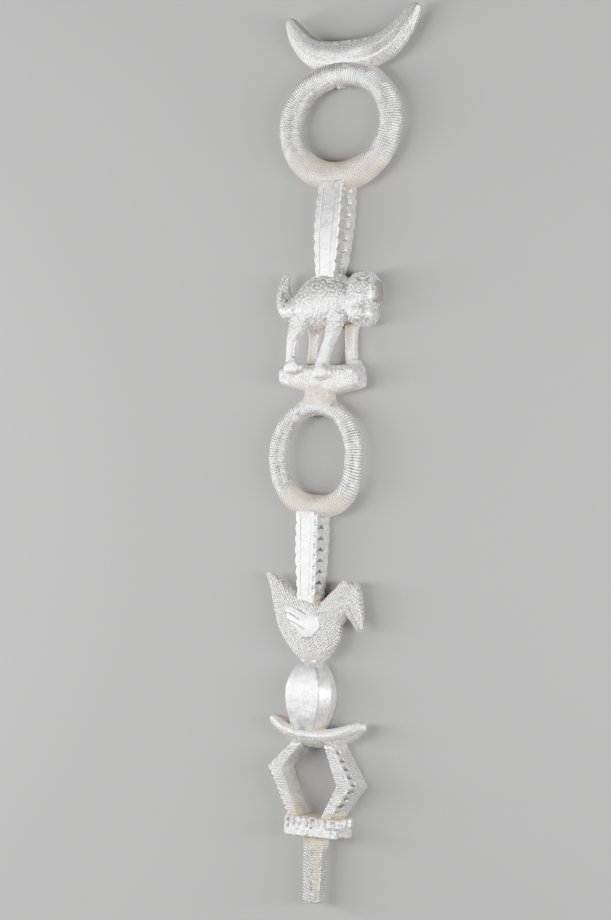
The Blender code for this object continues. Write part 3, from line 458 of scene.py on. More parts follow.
def foot_plate():
    x, z, c = FOOT_WIDTH / 2, FOOT_DEPTH / 2, FOOT_CORNER
    corners = ((0, -z), (x - c, -z), (x, c - z), (x, z - c), (x - c, z))
    corners += ((c - x, z), (-x, z - c), (-x, c - z), (c - x, -z))
    outline = softened(corners, 340, 8)
    # Rows over the under side, the edge and the upper side, as shares of the outline and heights
    faces = (0.3, 0.45, 0.58, 0.70, 0.80, 0.88, 0.94)
    levels = [(share, FOOT_Y) for share in faces]
    for y in np.linspace(0, 1, 38):
        edge = 1 - 0.055 * (max(0, abs(2 * y - 1) - 0.80) / 0.20) ** 2
        levels.append((edge, FOOT_Y + y * FOOT_THICKNESS))
    levels += [(share, FRAME_Y) for share in reversed(faces)]
    levels = np.array(levels)
    share, y = levels[:, :1], levels[:, 1:]
    points = together(FOOT_SHIFT + outline[None, :, 0] * share, y, outline[None, :, 1] * share)
    skin = Skin(points, stipple=0.6)
    side = ease(share, 0.90, 0.97)
    across = points[..., 0] - FOOT_SHIFT
    depth = points[..., 2]
    front = ease(depth, z - 0.004, z - 0.001)
    end = ease(np.abs(across), x - 0.004, x - 0.001)
    # Notches down the front and the ends, and a groove and a crack under them at the right
    uneven = 0.0016 * lump(points, 0.008, 21)
    high = ease(y + 1.6 * uneven, FRAME_Y - 0.0135, FRAME_Y - 0.0070) * ease(FRAME_Y - y, -0.0010, 0.0004)
    amount = 1.15 + 0.45 * lump(points * np.array((1, 0, 1)), 0.009, 29)
    notches = lines((across + uneven * 1.2 + 0.0015) / FOOT_NOTCH_PITCH, 0.46) ** 0.7 * front * amount
    notches = np.maximum(notches, lines((depth + uneven) / FOOT_NOTCH_PITCH, 0.46) ** 0.7 * end * amount) * high
    groove_y = FRAME_Y - FOOT_GROOVE_DROP
    groove = line_at(y - groove_y + 0.0006 * lump(points, 0.006, 4), 0.0016) * ease(across, x - 0.014, x - 0.010)
    crack = line_at(depth - 0.0055 + 0.001 * lump(points, 0.005, 7), 0.0011) * end * (across > 0)
    crack *= ease(groove_y - y, 0, 0.002)
    torn = np.maximum(groove, crack)
    # A broken lower corner, and a small hole in the lower edge
    broken = near(points, (FOOT_SHIFT + x, FOOT_Y, 0.004), 0.009)
    cut = unit(np.maximum(notches, torn * 0.9)) * FOOT_NOTCH_DEPTH * side
    skin.press(cut + FOOT_BREAK_DEPTH * broken**0.6 * side)
    skin.press(0.0018 * near(points, (0.0028, FOOT_Y + 0.0012, z - 0.0006), PIT_RADIUS))
    bare_top = ease(y, FRAME_Y - 0.003, FRAME_Y) * ease(1.02 - share, 0, 0.12)
    # Painted shade in the groove, the crack and the notches
    skin.mark(wear=0.55 * bare_top + 0.20 - 0.35 * unit(notches), crevice=torn * side * 0.5)
    skin.mark(graven=0.75 * unit(notches) * side)
    return skin.worn(0.010, 0.00080, 12).worn(0.0038, 0.00045, 13)


# Open frame


def arm(side, rise):
    top = SMALL_HORN_Y + SMALL_HORN_THICKNESS * 0.6
    low = FRAME_Y - FOOT_THICKNESS / 2
    end = (FRAME_END_WIDTH / 2, ARM_END_WIDTH, ARM_END_WIDTH * ARM_BACK_WIDTH / ARM_WIDTH, ARM_END_DEPTH / 2)
    elbow = (FRAME_ELBOW_WIDTH / 2, ARM_WIDTH, ARM_BACK_WIDTH, ARM_DEPTH / 2)
    hidden = (FRAME_END_WIDTH * 0.42, ARM_END_WIDTH / 2, ARM_END_WIDTH / 2, SMALL_HORN_DEPTH / 4)
    marks = (low, FRAME_Y, FRAME_Y + rise, SMALL_HORN_Y, top)
    heights = np.linspace(low, top, 190)
    stations = np.array((end, end, elbow, end, hidden))
    sizes = np.stack([np.interp(heights, marks, stations[:, column]) for column in range(4)], -1)
    for _ in range(5):
        sizes[1:-1] = sizes[1:-1] / 2 + (sizes[2:] + sizes[:-2]) / 4
    rows = []
    for y, (outer, front, back, half_depth) in zip(heights, sizes):
        chamfer = 0.12 * half_depth
        inner, inner_back = outer - front, outer - back
        corners = (
            (outer - chamfer, -half_depth),
            (outer, chamfer - half_depth),
            (outer, half_depth - chamfer),
            (outer - chamfer, half_depth),
            (inner, half_depth),
            (inner_back, -half_depth),
        )
        section = softened(corners, 96, 3)
        rows.append(together(FRAME_SHIFT + side * section[:, 0], np.full(96, y), section[:, 1]))
    skin = Skin(np.array(rows), stipple=0.35)
    points = skin.points
    y = points[..., 1]
    outer, half_depth = sizes[:, :1], sizes[:, 3:4]
    across = side * (points[..., 0] - FRAME_SHIFT)
    open_part = ease(y, FRAME_Y, FRAME_Y + 0.003) * ease(SMALL_HORN_Y - y, 0, 0.003)
    outside = ease(across, outer - 0.0030, outer - 0.0010)
    forward = points[..., 2] / half_depth
    uneven = lump(points, 0.006, 31)
    # A ladder of notches down the outer side, teeth down the left arm's lower edge, and hatching in front and inside
    band = ease(forward, 0.36, 0.44) * ease(0.93 - forward, 0, 0.07)
    low_only = ease(FRAME_Y + rise - y, 0.002, 0.006) * open_part
    step = ((y - FRAME_Y - rise + 0.0008 * uneven) / ARM_NOTCH_PITCH) % 1
    ladder = unit(1.25 - 1.6 * step) * ease(step, 0, 0.10) * band * outside * open_part
    front = ease(forward, 0.93, 0.99)
    edge_line = line_at(across - (outer - ARM_EDGE_LINE), 0.0008) * front * open_part
    teeth = lines((y + 0.0004 * uneven) / TEETH_PITCH, 0.5) * (side < 0)
    teeth = teeth * ease(across, outer - 0.0045, outer - 0.0020) * low_only
    flank = 0.8 * (1 - front) * (1 - outside * ease(forward, 0.28, 0.34))
    hatched = unit(front * (across < outer - ARM_EDGE_LINE) + flank)
    etched = lines((y + 0.0003 * uneven) / ARM_LINE_PITCH, 0.40) * hatched * open_part
    skin.press(ARM_NOTCH_DEPTH * 0.95 * ladder + 0.0009 * edge_line + 0.0005 * np.maximum(uneven, 0) * outside)
    skin.press(TEETH_DEPTH * teeth + ARM_LINE_DEPTH * etched)
    low_arm = ease(FRAME_Y + rise - y, 0, 0.015)
    skin.mark(wear=0.16 + (0.14 + 0.10 * low_arm) * (side < 0) - 0.30 * ladder)
    # Painted shade along the edge line, in the hatching and in the ladder's notches
    skin.mark(crevice=0.45 * edge_line, graven=np.maximum(0.42 * etched, unit(1.4 * ladder)))
    return skin.worn(0.009, 0.00030, 14 + side)


# Crescents


def horn_section(count):
    """A horn's section, flat on top and round in front, below and behind, as shares of thickness and depth."""
    corners = ((-0.15, -0.50), (-0.50, -0.40), (-0.50, 0.40), (-0.15, 0.50))
    return softened(corners + ((0.22, 0.43), (0.50, 0.16), (0.50, -0.16), (0.22, -0.43)), count, 2)


def crescent(shift, low_y, reaches, rises, thickness, depth, tip, bend, rows, columns):
    """A crescent and its section, from how far its left and right horns reach and rise."""
    index = np.linspace(-1, 1, rows)
    index = np.sign(index) * (1 - (1 - np.abs(index)) ** 1.15)
    share = np.sin(math.pi / 2 * index)
    reach = np.where(share < 0, *reaches)
    rise = np.where(share < 0, *rises)
    taper = (1 - np.abs(share) ** 3) ** 0.6
    path = together(shift + share * reach, low_y + thickness / 2 + rise * np.abs(share) ** bend, 0)
    length = np.concatenate([[0], np.cumsum(np.linalg.norm(np.diff(path, axis=0), axis=1))])
    near = np.minimum(length, length[-1] - length) / (tip * 0.55)
    round_tip = np.sqrt(np.clip(1 - unit(1 - near) ** 2, 0.02, 1))
    wide = (tip + (thickness - tip) * taper) * round_tip
    deep = (tip + (depth - tip) * taper) * round_tip
    heading = np.gradient(path, axis=0)
    heading /= np.linalg.norm(heading, axis=1, keepdims=True)
    side = together(heading[:, 1], -heading[:, 0], heading[:, 2])
    section = horn_section(columns)
    points = path[:, None] + side[:, None] * (section[None, :, :1] * wide[:, None, None])
    points[..., 2] += section[None, :, 1] * deep[:, None]
    return Skin(points, stipple=1.0, hatch=0.35), section


def small_crescent():
    low = SMALL_HORN_Y - SMALL_HORN_THICKNESS * 0.15
    reaches, rises = (SMALL_HORN_SPAN / 2,) * 2, (SMALL_HORN_RISE,) * 2
    sizes = SMALL_HORN_THICKNESS, SMALL_HORN_DEPTH, SMALL_HORN_TIP
    skin, section = crescent(SMALL_HORN_SHIFT, low, reaches, rises, *sizes, 2.2, 150, 60)
    top = ease(-section[None, :, 0], 0.40, 0.48)
    x = skin.points[..., 0]
    worn_left = ease(-0.012 - x, 0, 0.012) * ease(x + 0.062, 0, 0.020)
    skin.mark(stipple=0.55, wear=0.14 + top * (0.95 * worn_left + 0.30))
    return skin.worn(0.011, 0.0004, 16)


def top_crescent():
    reaches, rises = (HORN_SPAN_LEFT, HORN_SPAN_RIGHT), (HORN_RISE_LEFT, HORN_RISE_RIGHT)
    sizes = HORN_THICKNESS, HORN_DEPTH, HORN_TIP
    skin, section = crescent(HORN_SHIFT, HORN_Y - HORN_SINK, reaches, rises, *sizes, 3.2, 230, 64)
    x = skin.points[..., 0]
    # A ridge and a hollow along the right horn, with painted shade in the hollow, and painted shade on a facet of the
    # left one
    ridge = unit(1 - np.hypot(section[:, 0] - 0.22, section[:, 1] - 0.43) / 0.20)[None, :]
    hollow = line_at(section[:, 0] + 0.10, 0.30)[None, :] * (section[None, :, 1] > 0)
    skin.press((0.0009 * hollow - 0.0007 * ridge) * ease(x, 0.012, 0.040))
    facet = ease(-section[None, :, 0], 0.36, 0.46) * ease(-x, 0.026, 0.042)
    skin.mark(crevice=0.75 * facet, stipple=1 - facet, wear=0.10 + 0.10 * ease(-x, 0.03, 0.06))
    skin.mark(graven=0.35 * hollow * ease(x, 0.012, 0.040))
    return skin.worn(0.014, 0.0005, 17)


# Disc


def disc():
    share = np.linspace(-JOIN / DISC_HEIGHT, 1 + JOIN / DISC_HEIGHT, 130)
    held = unit(share)
    swell = np.sin(math.pi * held) ** 0.7
    foot_width = DISC_FOOT_WIDTH + held * (DISC_NECK_WIDTH - DISC_FOOT_WIDTH)
    foot_depth = DISC_FOOT_DEPTH + held * (DISC_NECK_DEPTH - DISC_FOOT_DEPTH)
    width = (foot_width + swell * (DISC_WIDTH - foot_width)) / 2
    depth = (foot_depth + swell * (DISC_DEPTH - foot_depth)) / 2
    corners = ((0, -1), (0.74, -1), (1, -0.25), (1, 0.25), (0.74, 1), (-0.74, 1), (-1, 0.25), (-1, -0.25), (-0.74, -1))
    outline = softened(corners, 128, 2)
    across, deep = outline[:, 0], outline[:, 1]
    y = (DISC_Y + share * DISC_HEIGHT)[:, None]
    points = together(DISC_SHIFT + across[None, :] * width[:, None], y, deep[None, :] * depth[:, None])
    skin = Skin(points, smooth=1.0)
    dents = 0.0004 * lump(points, 0.020, 18) + 0.00015 * lump(points, 0.007, 19)
    return skin.press(dents)


# Shafts


def shaft(shift_low, shift_high, low_y, high_y, foot, middle, top, pitch, chips):
    """A square shaft with a panel between two grooves, scalloped corners, and chips down both sides."""
    count = max(1, round((high_y - low_y) / pitch))
    centres = low_y + (np.arange(count) + 0.5) * ((high_y - low_y) / count)
    half_step = (centres[1] - centres[0]) / 2
    y = np.linspace(low_y - JOIN, high_y + JOIN, 200)
    share = (y - low_y) / (high_y - low_y)
    held = unit(share)
    half = (foot + share * (top - foot) + (middle - (foot + top) / 2) * np.sin(math.pi * held)) / 2
    half = half * (1 - 0.5 * ease(y, high_y, high_y + JOIN))
    shift = shift_low + share * (shift_high - shift_low)
    runs = ((-1, -0.62, 7), (-0.58, -0.42, 9), (-0.36, 0.36, 8), (0.42, 0.58, 9), (0.62, 1, 7))
    front = np.concatenate([np.linspace(*run) for run in runs])
    flank = np.linspace(-1, 1, 26)[1:-1]
    back = np.linspace(-1, 1, 20)
    u = np.concatenate([back, np.ones(24), front[::-1], -np.ones(24)])
    w = np.concatenate([-np.ones(20), flank, np.ones(len(front)), -flank])
    u, w = (np.roll(values, -10) for values in (u, w))
    local = np.clip((y[:, None] - centres[None, :]) / half_step, -1, 1)
    nearest = np.abs(local).min(1)
    scallop = SCALLOP_DEPTH * nearest**1.7 * ease(y, low_y, low_y + 0.004)
    # Scallops down the corners, but for the upper shaft's right one in front
    worked = 1.0 if chips == "diamond" else 1 - ((u > 0) & (w > 0))[None, :]
    corner = 0.10 + (scallop / half * 1.15)[:, None] * worked
    over = np.clip(np.abs(u)[None, :] + np.abs(w)[None, :] - (2 - corner), 0, 2) / 2
    across = u[None, :] - np.sign(u)[None, :] * over
    depth = w[None, :] - np.sign(w)[None, :] * over
    size = half[:, None]
    points = together(shift[:, None] + across * size, y[:, None], depth * size)
    skin = Skin(points, smooth=0.7)
    is_front = (np.abs(w)[None, :] > 0.99) & (np.abs(u)[None, :] < 0.95)
    clear = ease(y, low_y + 0.002, low_y + 0.010)[:, None] * ease(high_y - y, 0.002, 0.008)[:, None]
    groove = line_at((np.abs(u)[None, :] - PANEL_SHARE) * size, GROOVE_WIDTH) * is_front * clear
    panel = (np.abs(u)[None, :] < PANEL_SHARE) * is_front
    front_groove = groove * (w > 0)[None, :]
    is_side = np.abs(u)[None, :] > 0.99
    cut, chip_shadow = np.zeros_like(across), np.zeros_like(across)
    y, at = y[:, None], depth * size
    # Each chip's height, half width and place in depth, how deep it is cut, and how much painted shadow lies on its
    # edge and in it
    for place in centres:
        hold = np.interp(place, y[:, 0], half)
        if chips == "diamond":
            tall, wide, z = pitch * 0.46, 0.62 * hold, 0.15 * hold
            here = 1 - np.abs(y - place) / tall - np.abs(at - z) / wide
            edge = unit(here * 4) * ease(y - place, -0.0003, 0.0004)
        else:
            tall, wide, z = pitch * 0.95, 0.60 * hold, 0.34 * hold
            up = unit((y - place + tall / 2) / tall)
            reach = np.sqrt(np.where(up < 0.3, 1 - (1 - up / 0.3) ** 2, (1 - up) / 0.7))
            here = reach - np.abs(at - z) / wide
            edge = line_at(here - 0.14, 0.24) * ease(0.85 - up, 0, 0.3) * np.where(at < z, 1.0, 0.35)
            edge = np.maximum(edge, 0.5 * unit(here * 4))
            here = unit(here / 0.22) * (1 - up) ** 0.7
        cut, chip_shadow = np.maximum(cut, unit(here)), np.maximum(chip_shadow, edge)
    cut = cut**0.7 * is_side
    grooves = GROOVE_DEPTH * front_groove + BACK_GROOVE_DEPTH * groove * (w < 0)[None, :]
    skin.press(grooves + PANEL_DEPTH * 0.6 * panel + CHIP_DEPTH * cut)
    wear = 0.06 + 0.22 * ease(0.012 - (y - low_y), 0, 0.012)
    # Painted shade in the front grooves, and painted shadow at the chips
    skin.mark(crevice=0.75 * front_groove, graven=chip_shadow * is_side, wear=wear)
    return skin.worn(0.012, 0.00030, 22)


def shafts():
    """The lower shaft with its diamond chips, and the upper one with three-sided chips."""
    lower_end, upper_end = LOWER_RING_Y + LOWER_RING_FOOT * 0.25, UPPER_RING_Y + UPPER_RING_FOOT * 0.25
    lower = (LOWER_SHAFT_FOOT, LOWER_SHAFT_MIDDLE, LOWER_SHAFT_TOP, LOWER_CHIP_PITCH, "diamond")
    upper = (UPPER_SHAFT_FOOT, UPPER_SHAFT_MIDDLE, UPPER_SHAFT_TOP, UPPER_CHIP_PITCH, "triangle")
    return [
        shaft(LOWER_SHAFT_SHIFT, LOWER_RING_SHIFT, LOWER_SHAFT_Y, lower_end, *lower),
        shaft(UPPER_SHAFT_SHIFT, UPPER_RING_SHIFT, UPPER_SHAFT_Y, upper_end, *upper),
    ]


# Plate under the leopard, and the nub in the upper ring


def leopard_plate():
    half, low, high, neck = PLATE_WIDTH / 2, PLATE_Y, GROUND_Y, PLATE_NECK_WIDTH / 2
    thick = PLATE_THICKNESS
    # Along the plate: place, under side, upper side, and share of the depth
    stations = np.array((
        (-half, low + thick * 0.35, high - thick * 0.15, 0.75),
        (-half * 0.955, low + thick * 0.05, high, 1.0),
        (-neck, low - thick * 0.28, high, 1.0),
        (neck, low - thick * 0.42, high, 1.0),
        (half * 0.88, low - thick * 0.15, high, 1.0),
        (half, low - thick * 0.05, high - thick * 0.40, 0.8),
    ))
    x = np.unique(np.concatenate([np.linspace(-half, half, 120), stations[:, 0]]))
    under, top, deep = (np.interp(x, stations[:, 0], stations[:, column]) for column in (1, 2, 3))
    up, out = flats(12, 5, 72, 3)
    height, centre = (top - under) / 2, (top + under) / 2
    y = centre[:, None] + out[None, :] * height[:, None]
    z = up[None, :] * (deep * PLATE_DEPTH / 2)[:, None]
    skin = Skin(together(PLATE_SHIFT + x[:, None], y, z), stipple=1.0)
    skin.mark(wear=0.16 + 0.35 * ease(centre[:, None] - y, 0, 0.008))
    levels = spline_rows(
        (
            (PLATE_NECK_Y - LOWER_RING_THICKNESS / 2, LOWER_RING_SHIFT, neck * 1.6, PLATE_NECK_DEPTH / 2),
            (PLATE_NECK_Y, (LOWER_RING_SHIFT + PLATE_SHIFT) / 2, neck, PLATE_NECK_DEPTH / 2),
            (PLATE_Y + thick * 0.3, PLATE_SHIFT, neck * 1.3, PLATE_DEPTH * 0.45),
        ),
        16,
    )
    across, out = flats(12, 3, 60, 3)
    x = levels[:, 1:2] + across[None, :] * levels[:, 2:3]
    z = out[None, :] * levels[:, 3:4]
    post = Skin(together(x, levels[:, :1], z), stipple=0.6, wear=0.6)
    return [skin.worn(0.008, 0.0004, 23), post.worn(0.009, 0.0004, 24)]


def nub():
    top = HORN_Y - UPPER_RING_CROWN
    levels = spline_rows(
        (
            (top - NUB_DROP, NUB_WIDTH * 0.12, NUB_WIDTH * 0.10),
            (top - NUB_DROP * 0.9, NUB_WIDTH * 0.3, NUB_WIDTH * 0.22),
            (top - NUB_DROP * 0.5, NUB_WIDTH * 0.45, NUB_WIDTH * 0.34),
            (top + NUB_DROP, NUB_WIDTH * 0.5, NUB_WIDTH * 0.4),
        ),
        6,
    )
    across, out = oval(28)
    x = UPPER_RING_SHIFT + across[None, :] * levels[:, 1:2]
    z = out[None, :] * levels[:, 2:3]
    # Painted shade over the nub, inside the upper ring
    skin = Skin(together(x, levels[:, :1], z), stipple=1.0, wear=0.40, crevice=0.65)
    return skin.worn(0.004, 0.0009, 25)


# Node trees


def put(tree, kind, inputs=None, **settings):
    """A node with these settings, whose inputs are linked or given a value."""
    node = tree.nodes.new(kind)
    for name, value in settings.items():
        setattr(node, name, value)
    for name, value in (inputs or {}).items():
        value = value.socket if isinstance(value, Field) else value
        if isinstance(value, bpy.types.NodeSocket):
            tree.links.new(value, node.inputs[name])
        else:
            node.inputs[name].default_value = value
    return node


class Field:
    """A number that varies over a surface, worked out by nodes."""

    def __init__(self, tree, socket):
        self.tree, self.socket = tree, socket

    def work(self, operation, *others):
        node = put(self.tree, "ShaderNodeMath", dict(enumerate((self,) + others)), operation=operation)
        return Field(self.tree, node.outputs[0])

    def __add__(self, other):
        return self.work("ADD", other)

    def __sub__(self, other):
        return self.work("SUBTRACT", other)

    def __mul__(self, other):
        return self.work("MULTIPLY", other)

    def __truediv__(self, other):
        return self.work("DIVIDE", other)

    def power(self, other):
        return self.work("POWER", other)

    def cos(self):
        return self.work("COSINE")

    def sin(self):
        return self.work("SINE")

    def at_least(self, other):
        return self.work("MAXIMUM", other)


def new_tree(name, inputs):
    """A node tree with named inputs, and a dictionary of what each of them gives."""
    tree = bpy.data.node_groups.new(name, "GeometryNodeTree")
    for way in ("INPUT", "OUTPUT"):
        tree.interface.new_socket("Geometry", in_out=way, socket_type="NodeSocketGeometry")
    kinds = {float: "NodeSocketFloat", int: "NodeSocketInt", bpy.types.Material: "NodeSocketMaterial"}
    for label, value in inputs.items():
        tree.interface.new_socket(label, in_out="INPUT", socket_type=kinds[type(value)])
    start = tree.nodes.new("NodeGroupInput")
    return tree, {label: start.outputs[label] for label in ("Geometry",) + tuple(inputs)}


def end_tree(tree, shape, leaf):
    """Makes what a tree has grown real, and lays the leaf on it."""
    real = put(tree, "GeometryNodeRealizeInstances", {0: shape})
    laid = put(tree, "GeometryNodeSetMaterial", {"Geometry": real.outputs[0], "Material": leaf})
    put(tree, "NodeGroupOutput", {0: laid.outputs[0]})
    return tree


def settled(carrier):
    """The plain mesh that an object's modifiers give, in place of the object."""
    depsgraph = bpy.context.evaluated_depsgraph_get()
    shape = carrier.evaluated_get(depsgraph)
    result = bpy.data.meshes.new_from_object(shape, preserve_all_data_layers=True, depsgraph=depsgraph)
    bpy.data.objects.remove(carrier)
    return result


def grown(name, tree, inputs, mesh=None):
    """The plain mesh that a node tree gives for these inputs."""
    carrier = added(name, mesh or bpy.data.meshes.new(name))
    modifier = carrier.modifiers.new(name, "NODES")
    modifier.node_group = tree
    for item in tree.interface.items_tree:
        if item.in_out == "INPUT" and item.name in inputs:
            modifier[item.identifier] = inputs[item.name]
    return settled(carrier)


# Rings, each grown by a node tree from a grid that is bent round its hole


def ring_tree(inputs):
    tree, given = new_tree("carved_ring", inputs)
    field = {label: Field(tree, socket) for label, socket in given.items()}
    counts = {"Vertices X": field["Stations"] + 1, "Vertices Y": field["Sides"] + 1}
    grid = put(tree, "GeometryNodeMeshGrid", counts | {"Size X": 1, "Size Y": 1})
    position = tree.nodes.new("GeometryNodeInputPosition")
    parts = put(tree, "ShaderNodeSeparateXYZ", {0: position.outputs[0]})
    turn = Field(tree, parts.outputs["X"]) * (2 * math.pi) + math.pi / 2
    tube = Field(tree, parts.outputs["Y"]) * (2 * math.pi) + math.pi / 2
    out_x, out_y = turn.cos(), turn.sin()
    low = (out_y * -1).at_least(0.0)
    is_low = (out_y * -1).work("GREATER_THAN", 0.0)
    end = field["Crown"] + (field["Foot"] - field["Crown"]) * is_low
    wide = field["Thickness"] + (end - field["Thickness"]) * out_y * out_y
    deep = field["Thickness"] + (field["Foot depth"] - field["Thickness"]) * low * low * low
    skew = out_x.at_least(0.0) * low * 2
    bulge = field["Corner"] * skew * skew + 1
    middle_x = field["Centre X"] + field["Hole width"] / 2 * out_x * bulge + out_x * wide / 2
    middle_y = field["Centre Y"] + field["Hole length"] / 2 * out_y * bulge + out_y * wide / 2
    rib = ((turn * field["Ribs"]).cos() * 0.5 + 0.5).power(3.0) * field["Rib depth"]
    half_wide, half_deep = wide / 2 - rib, deep / 2 - rib
    reach = tube.cos() * half_wide
    spot = {"X": middle_x + out_x * reach, "Y": middle_y + out_y * reach, "Z": tube.sin() * half_deep}
    place = put(tree, "ShaderNodeCombineXYZ", spot)
    radius = (field["Hole length"] + field["Thickness"]) / 2
    shape = grid.outputs["Mesh"]
    for label, value in (("along", turn * radius), ("around", tube * field["Thickness"] / 2), ("tube", tube)):
        kept = {"Name": label, "Value": value, "Geometry": shape}
        shape = put(tree, "GeometryNodeStoreNamedAttribute", kept).outputs["Geometry"]
    bent = put(tree, "GeometryNodeSetPosition", {"Geometry": shape, "Position": place.outputs[0]})
    seam = put(tree, "GeometryNodeMergeByDistance", {"Distance": 0.00002, "Geometry": bent.outputs[0]})
    return end_tree(tree, seam.outputs[0], given["Leaf"])


def rings(leaf):
    labels = ("Centre X", "Centre Y", "Hole width", "Hole length", "Thickness", "Foot", "Crown", "Foot depth")
    labels += ("Corner", "Ribs", "Rib depth", "Stations", "Sides", "Leaf")
    upper_y = UPPER_RING_Y + UPPER_RING_FOOT + UPPER_HOLE_LENGTH / 2
    upper = (UPPER_RING_SHIFT, upper_y, UPPER_HOLE_WIDTH, UPPER_HOLE_LENGTH, UPPER_RING_THICKNESS, UPPER_RING_FOOT)
    upper += (UPPER_RING_CROWN, UPPER_SHAFT_TOP + PANEL_DEPTH, 0.0, 144.0, 0.00045, 704, 48, leaf)
    lower_y = LOWER_RING_Y + LOWER_RING_FOOT + LOWER_HOLE_LENGTH / 2
    lower = (LOWER_RING_SHIFT, lower_y, LOWER_HOLE_WIDTH, LOWER_HOLE_LENGTH, LOWER_RING_THICKNESS, LOWER_RING_FOOT)
    lower += (LOWER_RING_THICKNESS, LOWER_SHAFT_TOP + PANEL_DEPTH, LOWER_HOLE_CORNER, 124.0, 0.00040, 600, 44, leaf)
    upper, lower = dict(zip(labels, upper)), dict(zip(labels, lower))
    tree = ring_tree(upper)
    made = [grown("upper_ring", tree, upper), grown("lower_ring", tree, lower)]
    for mesh, given, seed in zip(made, (upper, lower), (41, 42)):
        shape = bmesh.new()
        shape.from_mesh(mesh)
        if shape.calc_volume(signed=True) < 0:
            bmesh.ops.reverse_faces(shape, faces=shape.faces)
        shape.to_mesh(mesh)
        shape.free()
        points, normals = read_points(mesh)
        x, y = points[:, 0] - given["Centre X"], points[:, 1] - given["Centre Y"]
        turn = np.degrees(np.arctan2(y, x))
        tube = np.degrees(get_mark(mesh, "tube")) % 360
        low = ease(-y, 0.25 * given["Hole length"], 0.62 * given["Hole length"])
        inner = ease(np.abs(tube - 180), 0, 75)
        if mesh is made[0]:
            # Three short cuts, side by side, at the lower left, with painted shade in them
            cuts = 0.0
            for slope in (-26, -10, 6):
                run = ease(turn + 178, 0, 8) * ease(-138 - turn, 0, 8)
                cuts = np.maximum(cuts, line_at(tube - (128 + slope + (turn + 160) * 0.5), 4.5) * run)
            press, crevice = 0.0005 * cuts, 0.5 * cuts
        else:
            # A small pit, with painted shade in it
            crevice = near(points, (-0.002, PLATE_NECK_Y - 0.015, 0.0095), PIT_RADIUS)
            press = 0.0012 * crevice
        press = 0.00045 * lump(points, 0.016, seed) + 0.00012 * lump(points, 0.004, seed + 4) + press
        # Ribs that fade in and out, with cross cuts where they fade, and painted shade in the grooves and the cross
        # cuts
        along = get_mark(mesh, "along")
        ribs = (np.cos(along / ((given["Hole length"] + given["Thickness"]) / 2) * given["Ribs"]) * 0.5 + 0.5) ** 3
        weave = unit(0.66 + 0.30 * lump(points, 0.009, seed + 20))
        set_marks(
            mesh,
            along=along,
            around=get_mark(mesh, "around"),
            cross=0.9 * (1 - weave),
            stipple=0.20,
            wear=0.12 + 0.42 * low + 0.22 * (1 - inner),
            crevice=crevice,
            graven=ribs * weave,
        )
        write_points(mesh, points - normals * press[:, None])
        mesh.attributes.remove(mesh.attributes["tube"])
    return made


# Animals


BIRD_BODY = (
    # height, left side, right side, depth, in shares of the bird's own sizes
    (-0.06, -0.130, 0.145, 0.50),
    (0.00, -0.140, 0.160, 0.52),
    (0.10, -0.255, 0.265, 0.70),
    (0.25, -0.375, 0.370, 0.86),
    (0.40, -0.470, 0.415, 0.95),
    (0.55, -0.535, 0.420, 1.00),
    (0.68, -0.570, 0.420, 0.97),
    (0.80, -0.605, 0.330, 0.88),
    (0.91, -0.640, 0.080, 0.72),
)
BIRD_TAIL = (
    (0.00, -0.655, -0.210, 0.56),
    (0.35, -0.690, -0.400, 0.44),
    (0.78, -0.740, -0.560, 0.34),
    (0.90, -0.760, -0.620, 0.30),
    (1.00, -0.720, -0.640, 0.26),
)
BIRD_HEAD = (
    (0.470, 0.690, 0.720, 0.16),
    (0.525, 0.640, 0.745, 0.30),
    (0.610, 0.580, 0.748, 0.44),
    (0.690, 0.500, 0.746, 0.62),
    (0.790, 0.420, 0.735, 0.84),
    (0.900, 0.350, 0.712, 1.00),
    (1.040, 0.335, 0.690, 0.98),
    (1.150, 0.370, 0.650, 0.80),
    (1.220, 0.430, 0.590, 0.52),
)
WING = (
    # along and height
    *((0.098, 0.346), (0.168, 0.424), (0.224, 0.515), (0.186, 0.674), (0.130, 0.860), (0.000, 0.930)),
    *((-0.300, 0.930), (-0.400, 0.870), (-0.354, 0.800), (-0.309, 0.712), (-0.271, 0.601), (-0.224, 0.550)),
    *((-0.140, 0.462), (-0.061, 0.350), (0.004, 0.339)),
)
FEATHERS = (
    ((-0.354, 0.838), (-0.217, 0.797), (-0.092, 0.753), (0.002, 0.700)),
    ((-0.309, 0.712), (-0.196, 0.680), (-0.086, 0.613)),
    ((-0.271, 0.601), (-0.129, 0.551), (-0.002, 0.467)),
)
LEOPARD_BODY = (
    # along, middle height, half height, depth
    (-0.545, 0.400, 0.090, 0.45),
    (-0.500, 0.370, 0.190, 0.68),
    (-0.400, 0.408, 0.343, 0.88),
    (-0.270, 0.465, 0.445, 0.98),
    (-0.100, 0.515, 0.510, 1.00),
    (0.090, 0.530, 0.510, 1.00),
    (0.270, 0.530, 0.440, 0.96),
    (0.400, 0.520, 0.380, 0.86),
    (0.540, 0.510, 0.330, 0.74),
)
LEOPARD_HEAD = (
    # height, left side, right side, depth, in shares of the head
    (0.000, -0.16, 0.22, 0.42),
    (0.050, -0.32, 0.34, 0.66),
    (0.140, -0.44, 0.44, 0.84),
    (0.240, -0.50, 0.46, 0.92),
    (0.315, -0.51, 0.43, 0.94),
    (0.345, -0.51, 0.38, 0.93),
    (0.375, -0.51, 0.46, 0.95),
    (0.480, -0.53, 0.55, 1.00),
    (0.620, -0.53, 0.57, 1.00),
    (0.760, -0.50, 0.54, 0.95),
    (0.880, -0.42, 0.45, 0.82),
    (0.960, -0.28, 0.31, 0.60),
    (1.000, -0.10, 0.14, 0.30),
)
TAIL = (
    # along, height, thickness
    (-0.424, 0.400, 2.10),
    (-0.544, 0.360, 1.90),
    (-0.654, 0.380, 1.60),
    (-0.724, 0.510, 1.35),
    (-0.754, 0.680, 1.05),
    (-0.744, 0.880, 0.75),
    (-0.724, 1.030, 0.40),
)
